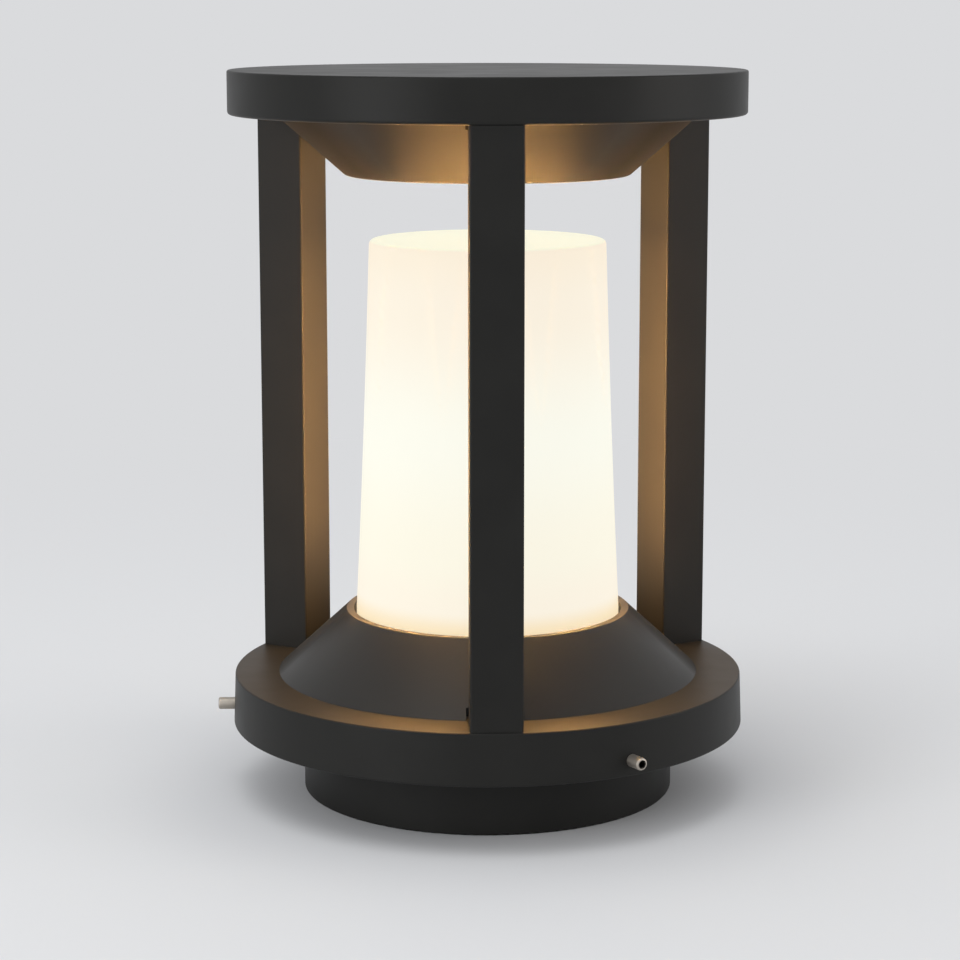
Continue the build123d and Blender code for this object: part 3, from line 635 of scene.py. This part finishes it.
def rim(shape, level):
    """Open edges at a level."""
    return [
        edge
        for edge in shape.edges
        if edge.is_boundary and all(abs(vert.co.z - level) < NEAR for vert in edge.verts)
    ]


def join_rims(shape, first, second):
    """Faces between the open edges at two levels."""
    bmesh.ops.bridge_loops(shape, edges=rim(shape, first) + rim(shape, second))


def round_off(shape, edges, offset):
    """Edges rounded with a bevel."""
    bmesh.ops.bevel(
        shape, geom=edges, offset=offset, segments=ROUND_SEGMENTS, profile=0.5,
        affect="EDGES", material=-1,
    )


print("lathe tools ready")

# %% [markdown]
# ## From a drawing to its place
# A turned piece stands on the origin until it is whole. The frame says where its solid is, so the
# place is read from the solid's box, and one matrix brings the piece there and to metres. The object
# itself stays at the origin, as the solids do, so that patterns sit still on it.

# %% Placing tools
TO_METRES = Matrix.Scale(MILLIMETRE, 4)
SMOOTH_UNDER = math.radians(32)


def node_box(node):
    """Lowest and highest corner of a solid, in millimetres."""
    low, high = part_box(node)
    return low / MILLIMETRE, high / MILLIMETRE


def polar(radius, angle, height):
    """Place at a radius, an angle in degrees and a height, with X pointing outwards."""
    return Matrix.Rotation(math.radians(angle), 4, "Z") @ Matrix.Translation((radius, 0, height))


def set_down(shape, geometry, place):
    """Bring a finished shape from the drawing to its place in metres."""
    verts = [item for item in geometry if isinstance(item, bmesh.types.BMVert)]
    bmesh.ops.transform(shape, matrix=TO_METRES @ place, verts=verts)


def add_piece(name, shape, node, body):
    """Object from a finished shape, in place of a solid and with its finish."""
    bmesh.ops.recalc_face_normals(shape, faces=shape.faces)
    for face in shape.faces:
        face.smooth = True
    mesh = bpy.data.meshes.new(name)
    shape.to_mesh(mesh)
    shape.free()
    mesh.set_sharp_from_angle(angle=SMOOTH_UNDER)
    mesh.materials.append(finishes[slot_of[node]])
    piece = bpy.data.objects.new(name, mesh)
    scene.collection.objects.link(piece)
    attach(piece, body)
    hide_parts(node)
    print("piece:", name, "faces:", len(mesh.polygons))
    return piece


print("placing tools ready")

# %% [markdown]
# ## Shape of a set screw
# Three bare steel set screws hold the head on the base. Each has a hexagon socket in a plain rounded
# end, a thread where it runs in the wall of the ring, and a cone point. The point and the plain end
# are turned, and bridged to the cut ends of a wound thread. The end is rounded with a bevel, and the
# socket is a six-sided circle pushed into it.

# %% Shape of a set screw
SCREW_PITCH = 0.8
ROOT_END, CREST_START, CREST_END = 0.1, 0.4, 0.5
THREAD_DEPTH = 0.45
THREAD_HIGH = 8.8
POINT_RADIUS = 0.5
END_ROUND = 0.7
SOCKET_RADIUS = 1.44
SOCKET_MOUTH = 1.7
SOCKET_DEPTH = 3.0
THREAD_STEPS = 24
SOCKET_FACE = 1


def set_screw_shape(radius, length):
    """Set screw that points down Z from its socket."""
    shape = bmesh.new()
    root = radius - THREAD_DEPTH
    thread_low = radius - POINT_RADIUS
    ridge = [
        (root, 0.0),
        (root, ROOT_END),
        (radius, CREST_START),
        (radius, CREST_END),
        (root, SCREW_PITCH),
    ]
    line = [(reach, thread_low - SCREW_PITCH + rise) for reach, rise in ridge]
    wind_thread(shape, line, SCREW_PITCH, thread_low, THREAD_HIGH, THREAD_STEPS)
    neck = thread_low - THREAD_DEPTH
    turn(shape, [(0, 0), (POINT_RADIUS, 0), (root, neck)])
    join_rims(shape, neck, thread_low)
    shoulder = THREAD_HIGH + THREAD_DEPTH / 2
    turn(shape, [(radius, shoulder), (radius, length), (SOCKET_MOUTH, length)])
    join_rims(shape, THREAD_HIGH, shoulder)
    round_off(shape, outer_edge(shape, radius, length), END_ROUND)
    push_socket(shape, length)
    return shape


def outer_edge(shape, radius, level):
    """Edges round the outside of a screw's end."""
    outside = {
        vert
        for vert in shape.verts
        if abs(vert.co.z - level) < NEAR and vert.co.xy.length > radius - NEAR
    }
    return [edge for edge in shape.edges if outside.issuperset(edge.verts)]


def push_socket(shape, top):
    """Hexagon socket in the round mouth of a screw's end, whose faces take a painted shade finish."""
    mouth = rim(shape, top)
    lip = top - (SOCKET_MOUTH - SOCKET_RADIUS)
    floor_level = top - SOCKET_DEPTH
    circle = bmesh.ops.create_circle(
        shape, segments=6, radius=SOCKET_RADIUS, matrix=Matrix.Translation((0, 0, lip))
    )
    hexagon = list({edge for vert in circle["verts"] for edge in vert.link_edges})
    bmesh.ops.bridge_loops(shape, edges=mouth + hexagon)
    walls = bmesh.ops.extrude_edge_only(shape, edges=hexagon)["geom"]
    bottom = [item for item in walls if isinstance(item, bmesh.types.BMVert)]
    bmesh.ops.translate(shape, verts=bottom, vec=(0, 0, floor_level - lip))
    bmesh.ops.edgeloop_fill(shape, edges=rim(shape, floor_level))
    # The socket and the ring round its mouth take the second finish, a near-black painted shade.
    for face in shape.faces:
        middle = face.calc_center_median()
        if middle.xy.length < SOCKET_MOUTH and middle.z > floor_level - NEAR:
            face.material_index = SOCKET_FACE


print("thread pitch:", SCREW_PITCH, "socket across corners:", 2 * SOCKET_RADIUS)

# %% [markdown]
# ## Set screws
# The three screws point at the middle of the ring, 120 degrees apart. The left one lies along X, so
# its box gives the length, the radius, the level and how far out all three of them stand.

# %% Set screws
SET_SCREW_ANGLES = {"front_set_screw": -60, "rear_set_screw": 60, "left_set_screw": 180}
OUTWARDS = Matrix.Rotation(math.pi / 2, 4, "Y")
low, high = node_box("left_set_screw")
for node, angle in SET_SCREW_ANGLES.items():
    shape = set_screw_shape((high.z - low.z) / 2, high.x - low.x)
    set_down(shape, shape.verts[:], polar(-high.x, angle, (low.z + high.z) / 2) @ OUTWARDS)
    piece = add_piece(node + "_threaded", shape, node, node)
    # The second finish is the painted shade of the socket.
    piece.data.materials.append(finishes["broached_socket"])

# %% [markdown]
# ## Recess for a driver
# A recess can be cut with a Boolean, but on a flat head it is simpler to draw it: planes cut the flat
# into a grid, and the faces inside the cross or the slot are pushed down.

# %% Recess for a driver
LEVEL_FACING = 0.99


def flat_top(shape, top):
    """Faces that lie on the top of a head."""
    return [
        face
        for face in shape.faces
        if face.normal.z > LEVEL_FACING and face.calc_center_median().z > top - NEAR
    ]


def recess(shape, top, reach, width, depth, cross):
    """Cross or slot pushed into the flat top of a head."""
    for normal in (Vector((1, 0, 0)), Vector((0, 1, 0))):
        for offset in (-reach, -width, width, reach):
            flat = flat_top(shape, top)
            edges = {edge for face in flat for edge in face.edges}
            verts = {vert for face in flat for vert in face.verts}
            bmesh.ops.bisect_plane(
                shape, geom=[*flat, *edges, *verts], plane_co=normal * offset, plane_no=normal
            )
    arms = []
    for face in flat_top(shape, top):
        x, y = face.calc_center_median().xy
        along = abs(x) < reach and abs(y) < width
        across = abs(y) < reach and abs(x) < width
        if along or (cross and across):
            arms.append(face)
    moved = bmesh.ops.extrude_face_region(shape, geom=arms)["geom"]
    bottom = [item for item in moved if isinstance(item, bmesh.types.BMVert)]
    bmesh.ops.translate(shape, verts=bottom, vec=(0, 0, -depth))
    bmesh.ops.delete(shape, geom=arms, context="FACES")


print("recess tool ready")

# %% [markdown]
# ## Screws with heads
# The screws under the cap and under the ring are countersunk, and those in the base have pan heads.
# All of them have a cross for the driver. The clamps of the terminal block are headless, with a
# plain slot. Each is turned from its outline, closed on top, rounded if it is a pan head, and cut.

# %% Screws with heads
# Shares of the head's or the screw's radius
CROSS_REACH, CROSS_WIDTH, CROSS_DEPTH = 0.58, 0.11, 0.4
SLOT_REACH, SLOT_WIDTH, SLOT_DEPTH = 0.86, 0.2, 0.38
CLAMP_STEPS = 24


def close_top(shape, level):
    """Fill the open rim at a level, and point all faces outwards."""
    edge = rim(shape, level)
    bmesh.ops.edgeloop_fill(shape, edges=edge)
    bmesh.ops.recalc_face_normals(shape, faces=shape.faces)
    return edge


def headed_screw(shank, head, head_height, length):
    """Screw along Z: a pan head stands on zero, a countersunk head of no height hangs below it."""
    shape = bmesh.new()
    under_head = [(head, 0), (shank, 0)] if head_height else [(shank, shank - head)]
    turn(shape, [(head, head_height), *under_head, (shank, -length), (0, -length)])
    edge = close_top(shape, head_height)
    if head_height:
        round_off(shape, edge, head_height / 2)
    cross_size = (CROSS_REACH * head, CROSS_WIDTH * head, CROSS_DEPTH * head)
    recess(shape, head_height, *cross_size, cross=True)
    return shape


def clamp_screw(radius, length):
    """Slotted headless screw that hangs below zero."""
    shape = bmesh.new()
    turn(shape, [(radius, 0), (radius, -length), (0, -length)], CLAMP_STEPS)
    close_top(shape, 0)
    slot_size = (SLOT_REACH * radius, SLOT_WIDTH * radius, SLOT_DEPTH * radius)
    recess(shape, 0, *slot_size, cross=False)
    return shape


def add_screws(node, body, shape, places):
    """One piece with a copy of a screw at each place."""
    screw = shape.verts[:] + shape.edges[:] + shape.faces[:]
    copies = [bmesh.ops.duplicate(shape, geom=screw)["geom"] for place in places[1:]]
    for geometry, place in zip([screw, *copies], places):
        set_down(shape, geometry, place)
    add_piece(node + "_driven", shape, node, body)


print("screw makers ready")

# %% [markdown]
# ## Places of the screws
# Each set of screws is one solid node, and its box shows where the screws are. Three stand in a ring
# between the posts, one of them straight back, so the box's rear side gives the ring. The pairs under
# the posts and the screws of the base are found the same way.

# %% Places of the screws
BETWEEN_POSTS = (-30, 90, 210)
POST_ANGLES = (-90, 30, 150)
FACE_DOWN = Matrix.Rotation(math.pi, 4, "X")
PAN_HEIGHT = 2.4
PAIR_WIDTH_IN_HEADS = 3


def between_posts(low, high, head):
    """Three screws that face down, one of them straight back."""
    return [polar(high.y - head, angle, low.z) @ FACE_DOWN for angle in BETWEEN_POSTS]


def under_posts(low, high, head):
    """A pair of screws that face down under each post, the front pair furthest forward."""
    circle = -low.y - head
    right_post = math.radians(POST_ANGLES[1])
    apart = (high.x - head - circle * math.cos(right_post)) / math.sin(right_post)
    return [
        polar(circle, angle, low.z) @ Matrix.Translation((0, side * apart, 0)) @ FACE_DOWN
        for angle in POST_ANGLES
        for side in (-1, 1)
    ]


def upright(low, high, head):
    """Pan heads at the two ends of a box along X, or one in a box as wide as itself."""
    middle = (low + high) / 2
    is_pair = high.x - low.x > PAIR_WIDTH_IN_HEADS * head
    ends = (low.x + head, high.x - head) if is_pair else (middle.x,)
    return [Matrix.Translation((x, middle.y, high.z - PAN_HEIGHT)) for x in ends]


print("screws between the posts at", BETWEEN_POSTS, "degrees")

# %% [markdown]
# ## Fit the screws
# A table lists the sets: the body that carries them, the radii of shank and head, the height of the
# head and where they go. Their length is what is left of the solid's height. The clamps of the
# terminal block stand in two rows of three.

# %% Fit the screws
M3, M4 = (1.5, 3.0), (2.0, 4.0)
SCREW_SETS = [
    ("cap_screws", "head", M4, 0, between_posts),
    ("post_foot_screws", "head", M4, 0, under_posts),
    ("lower_cone_screws", "head", M3, 0, between_posts),
    ("bracket_screws", "base", M4, PAN_HEIGHT, upright),
    ("earth_screw", "base", M4, PAN_HEIGHT, upright),
    ("terminal_fixing_screws", "base", M3, PAN_HEIGHT, upright),
]
for node, body, (shank, head), head_height, find_places in SCREW_SETS:
    low, high = node_box(node)
    shape = headed_screw(shank, head, head_height, high.z - low.z - head_height)
    add_screws(node, body, shape, find_places(low, high, head))

CLAMP_RADIUS = 1.6
low, high = node_box("terminal_screws")
clamp_places = [
    Matrix.Translation((x, y, high.z))
    for x in (low.x + CLAMP_RADIUS, (low.x + high.x) / 2, high.x - CLAMP_RADIUS)
    for y in (low.y + CLAMP_RADIUS, high.y - CLAMP_RADIUS)
]
add_screws("terminal_screws", "base", clamp_screw(CLAMP_RADIUS, high.z - low.z), clamp_places)

# %% [markdown]
# ## Lamp cap
# The lamp screws into its holder with a rolled round thread, which shows when the lamp is turned
# out. It is wound like the thread of the set screws, from a wave instead of a ridge, and it gets a
# thin wall with Solidify because the real cap is pressed from sheet.

# %% Lamp cap
CAP_PITCH = 3.629
CAP_THREAD_DEPTH = 0.7
CAP_SKIRT = 2.1
CAP_COLLAR = 3.3
CAP_BLEND = 0.6
CAP_WALL = 0.15
CAP_STEPS = 64
WAVE_STEPS = 12
low, high = node_box("lamp_cap")
cap_radius = high.x
half_depth = CAP_THREAD_DEPTH / 2
mean_radius = cap_radius - half_depth
thread_low, thread_high = low.z + CAP_SKIRT, high.z - CAP_COLLAR
wave = []
for step in range(WAVE_STEPS + 1):
    share = step / WAVE_STEPS
    swell = half_depth * math.cos(2 * math.pi * share)
    wave.append((mean_radius + swell, thread_low + CAP_PITCH * (share - 1)))
shape = bmesh.new()
wind_thread(shape, wave, CAP_PITCH, thread_low, thread_high, CAP_STEPS)
skirt_top, collar_low = thread_low - CAP_BLEND, thread_high + CAP_BLEND
skirt = [(mean_radius, low.z), (cap_radius, low.z + half_depth), (cap_radius, skirt_top)]
turn(shape, skirt, CAP_STEPS)
join_rims(shape, skirt_top, thread_low)
turn(shape, [(cap_radius, collar_low), (cap_radius, high.z)], CAP_STEPS)
join_rims(shape, thread_high, collar_low)
bmesh.ops.recalc_face_normals(shape, faces=shape.faces)
bmesh.ops.solidify(shape, geom=shape.faces[:], thickness=CAP_WALL)
set_down(shape, shape.verts[:], Matrix.Identity(4))
threaded_cap = add_piece("lamp_cap_threaded", shape, "lamp_cap", "lamp")

# %% [markdown]
# ## Background tools
# The background of the photograph is one flat pale grey. More light on a white wall would give it,
# but it would also light the lantern. So the floor and the sky show one plain grey where they are
# seen, straight or in a reflection, and the light that they send to the lantern is set apart from
# that. Light Path tells the two kinds of rays apart, and Mix Shader swaps the surface for one kind.

# %% Background tools
BACKGROUND = (0.701, 0.708, 0.723, 1)


def seen_directly(tree):
    """Mask of the rays that show a surface to the eye: straight, reflected or through glass."""
    rays = tree.nodes.new("ShaderNodeLightPath").outputs
    seen = maths(tree, "MAXIMUM", rays["Is Camera Ray"], rays["Is Glossy Ray"])
    return maths(tree, "MAXIMUM", seen, rays["Is Transmission Ray"])


def blend_shaders(tree, share, first, second):
    """Shader between two others."""
    node = tree.nodes.new("ShaderNodeMixShader")
    for socket, value in zip(node.inputs, (share, first.outputs[0], second.outputs[0])):
        set_input(tree, socket, value)
    return node.outputs[0]


print("background:", BACKGROUND[:3])

# %% [markdown]
# ## Floor
# A curved backdrop would hide the horizon, but its bend shows from other sides. So the floor is a
# wide disc that takes the lantern's soft shadow near it and fades to the background's own grey
# further out, and no horizon shows.

# %% Floor
FLOOR_RADIUS = 8.0
FLOOR_SIDES = 96
FLOOR_DROP = 0.1 * MILLIMETRE
FLOOR_GREY = (0.69, 0.701, 0.724, 1)
FADE_START, FADE_END = 0.25, 0.9

shape = bmesh.new()
bmesh.ops.create_circle(shape, cap_ends=True, segments=FLOOR_SIDES, radius=FLOOR_RADIUS)
floor_mesh = bpy.data.meshes.new("floor")
shape.to_mesh(floor_mesh)
shape.free()
floor = bpy.data.objects.new("floor", floor_mesh)
floor.location.z = -FLOOR_DROP
scene.collection.objects.link(floor)
floor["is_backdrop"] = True

floor_paint = bpy.data.materials.new("pale_floor")
floor_paint.use_nodes = True
tree = floor_paint.node_tree
tree.nodes.clear()
matt = add_node(tree, "ShaderNodeBsdfDiffuse", Color=FLOOR_GREY)
flat = add_node(tree, "ShaderNodeEmission", Color=BACKGROUND)
reach = add_node(tree, "ShaderNodeVectorMath", {"operation": "LENGTH"}, Vector=object_place(tree))
far_away = remap(tree, reach.outputs["Value"], FADE_START, FADE_END, 0.0, 1.0)
share = maths(tree, "MULTIPLY", seen_directly(tree), far_away)
add_node(tree, "ShaderNodeOutputMaterial", Surface=blend_shaders(tree, share, matt, flat))
floor_mesh.materials.append(floor_paint)
print("floor radius:", FLOOR_RADIUS)

# %% [markdown]
# ## Sky
# A studio's white walls and ceiling give light from all round. A world shader does the same: its
# light is a little stronger from the upper left, as in the photograph, while the camera and the
# reflections see it as the same pale grey as the background.

# %% Sky
SKY_LEVELS = (0.46, 0.95)
SKY_TURN = (-0.6, 1.0)
WHITE = (1, 1, 1, 1)
SKY_SIDE = Vector((-0.55, 0.20, 0.80)).normalized()
world = bpy.data.worlds.new("studio")
scene.world = world
world.use_nodes = True
tree = world.node_tree
tree.nodes.clear()
direction = tree.nodes.new("ShaderNodeTexCoord").outputs["Generated"]
towards_light = add_node(tree, "ShaderNodeVectorMath", {"operation": "DOT_PRODUCT"})
set_input(tree, towards_light.inputs[0], direction)
set_input(tree, towards_light.inputs[1], SKY_SIDE)
strength = remap(tree, towards_light.outputs["Value"], *SKY_TURN, *SKY_LEVELS)
soft = add_node(tree, "ShaderNodeBackground", Color=WHITE, Strength=strength)
backdrop = add_node(tree, "ShaderNodeBackground", Color=BACKGROUND)
sky = blend_shaders(tree, seen_directly(tree), soft, backdrop)
add_node(tree, "ShaderNodeOutputWorld", Surface=sky)
print("sky from", SKY_LEVELS[0], "to", SKY_LEVELS[1])

# %% [markdown]
# ## Softboxes
# Two square softboxes draw the light bands on the rim and the ring, one from the front left and one
# from the right. A third stands behind, low enough to skim over the top of the cap, and a fourth
# hangs high at the front left and reaches past the cap to the slope of the lower cone.

# %% Softboxes
SOFTBOX_SIZE = 1.1
AIM_HEIGHT = 0.15
# Bearing from the front in degrees, reach and height in metres, watts and colour
SOFTBOXES = {
    "left_softbox": (-50, 2.1, 0.6, 16.0, (1.0, 1.0, 1.0)),
    "right_softbox": (80, 2.1, 0.6, 11.0, (1.0, 0.95, 0.90)),
    "back_softbox": (172, 2.1, 1.0, 0.75, (1.0, 0.99, 0.97)),
    "top_softbox": (-35, 0.7, 2.2, 8.0, (1.0, 1.0, 0.98)),
}
for name, (bearing, reach, height, watts, colour) in SOFTBOXES.items():
    box_data = bpy.data.lights.new(name, "AREA")
    box_data.size = SOFTBOX_SIZE
    box_data.energy = watts
    box_data.color = colour
    softbox = bpy.data.objects.new(name, box_data)
    heading = math.radians(bearing)
    softbox.location = (reach * math.sin(heading), -reach * math.cos(heading), height)
    outlook = Vector(softbox.location) - Vector((0, 0, AIM_HEIGHT))
    softbox.rotation_euler = outlook.to_track_quat("Z", "Y").to_euler()
    scene.collection.objects.link(softbox)
print("softboxes:", list(SOFTBOXES))

# %% [markdown]
# ## Glow of the sleeve
# The lit sleeve throws a warm glow on everything near it. Its own emission is too grainy for that, so
# a ring of upright strip lights stands just inside its wall, and a round one lies under its top. A
# strip sends most of its light straight out and little up or down, as the wall does. The cone below
# has two low rings to itself, one of them at the sleeve's foot for its lip. All ride on the head,
# like the sleeve.

# %% Glow of the sleeve
STRIP_COUNT = 8
GLOW_COLOUR = (1.0, 0.52, 0.16)
GLOW_RADIUS = 0.047
FOOT_RADIUS = 0.0545
FOOT_RING, CONE_RING, WALL_RING = "foot_glow", "cone_glow", "wall_glow"
sleeve_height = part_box("diffuser")[1].z - lip_level
# Radius, low and high end above the lip, and watts per square metre
GLOW_RINGS = {
    FOOT_RING: (FOOT_RADIUS, 0.0, 0.004, 120.0),
    CONE_RING: (GLOW_RADIUS, 0.006, 0.050, 45.0),
    WALL_RING: (GLOW_RADIUS, 0.010, sleeve_height, 64.0),
}
TOP_WATTS_PER_SQUARE_METRE = 150.0
glow_lamps = []


def add_glow(name, shape, width, height, watts, place, facing):
    """Area light that faces one way and rides on the head."""
    glow_data = bpy.data.lights.new(name, "AREA")
    glow_data.shape = shape
    glow_data.size, glow_data.size_y = width, height
    glow_data.energy = watts
    glow_data.color = GLOW_COLOUR
    glow_data.cycles.use_multiple_importance_sampling = False
    glow = bpy.data.objects.new(name, glow_data)
    glow.location = place
    glow.rotation_euler = (-facing).to_track_quat("Z", "Y").to_euler()
    scene.collection.objects.link(glow)
    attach(glow, "head")
    glow_lamps.append(glow)


up = Vector((0, 0, 1))
for ring, (radius, low, high, strength) in GLOW_RINGS.items():
    width = 2 * radius * math.tan(math.pi / STRIP_COUNT)
    watts = strength * width * (high - low)
    for number in range(STRIP_COUNT):
        outwards = Matrix.Rotation(2 * math.pi * number / STRIP_COUNT, 3, "Z") @ Vector((1, 0, 0))
        middle = radius * outwards + (lip_level + (low + high) / 2) * up
        add_glow(f"{ring}_{number}", "RECTANGLE", width, high - low, watts, middle, outwards)
top_watts = TOP_WATTS_PER_SQUARE_METRE * math.pi * GLOW_RADIUS**2
sleeve_top = (lip_level + sleeve_height) * up
add_glow("top_glow", "DISK", 2 * GLOW_RADIUS, 2 * GLOW_RADIUS, top_watts, sleeve_top, up)
all_watts = sum(lamp.data.energy for lamp in glow_lamps)
print("glow lamps:", len(glow_lamps), "watts:", round(all_watts, 2))

# %% [markdown]
# ## What the glow reaches
# The sleeve and the lamp's parts let the glow through, because the real light starts on their
# outside, so they cast no shadow. Light linking gives the two low rings to the lower cone alone. It
# keeps the other lamps off that cone, off the floor, where the photograph shows no glow, and off the
# pale and bright parts inside, which have their own light. The foot ring stays out of reflections,
# where it would draw a glaring line on the lip.

# %% What the glow reaches
CLEAR_TO_GLOW = [
    threaded_cap,
    *(solids[name] for name in ("diffuser", "lamp_globe", "lamp_housing", "lamp_light_board")),
    *(solids[name] for name in ("lampholder_body", "lampholder_shell")),
]
for item in CLEAR_TO_GLOW:
    item.visible_shadow = False
OUT_OF_GLOW = [
    floor,
    threaded_cap,
    bpy.data.objects["cap_screws_driven"],
    *(solids[name] for name in ("lamp_housing", "lamp_globe", "lampholder_body", "lower_cone")),
]
cone_alone = bpy.data.collections.new("cone_alone")
cone_alone.objects.link(solids["lower_cone"])
out_of_glow = bpy.data.collections.new("out_of_glow")
for item in OUT_OF_GLOW:
    out_of_glow.objects.link(item)
for link in out_of_glow.collection_objects:
    link.light_linking.link_state = "EXCLUDE"
for glow in glow_lamps:
    on_cone_alone = glow.name.startswith((FOOT_RING, CONE_RING))
    glow.light_linking.receiver_collection = cone_alone if on_cone_alone else out_of_glow
    glow.visible_glossy = not glow.name.startswith(FOOT_RING)
print("clear to the glow:", len(CLEAR_TO_GLOW), "out of the glow:", len(OUT_OF_GLOW))

# %% [markdown]
# ## Finish
# The size of the box round the dressed lantern is printed, in metres.

# %% Sizes and finish
low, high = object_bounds()
print("dressed size in metres:", [round(side, 4) for side in high - low])
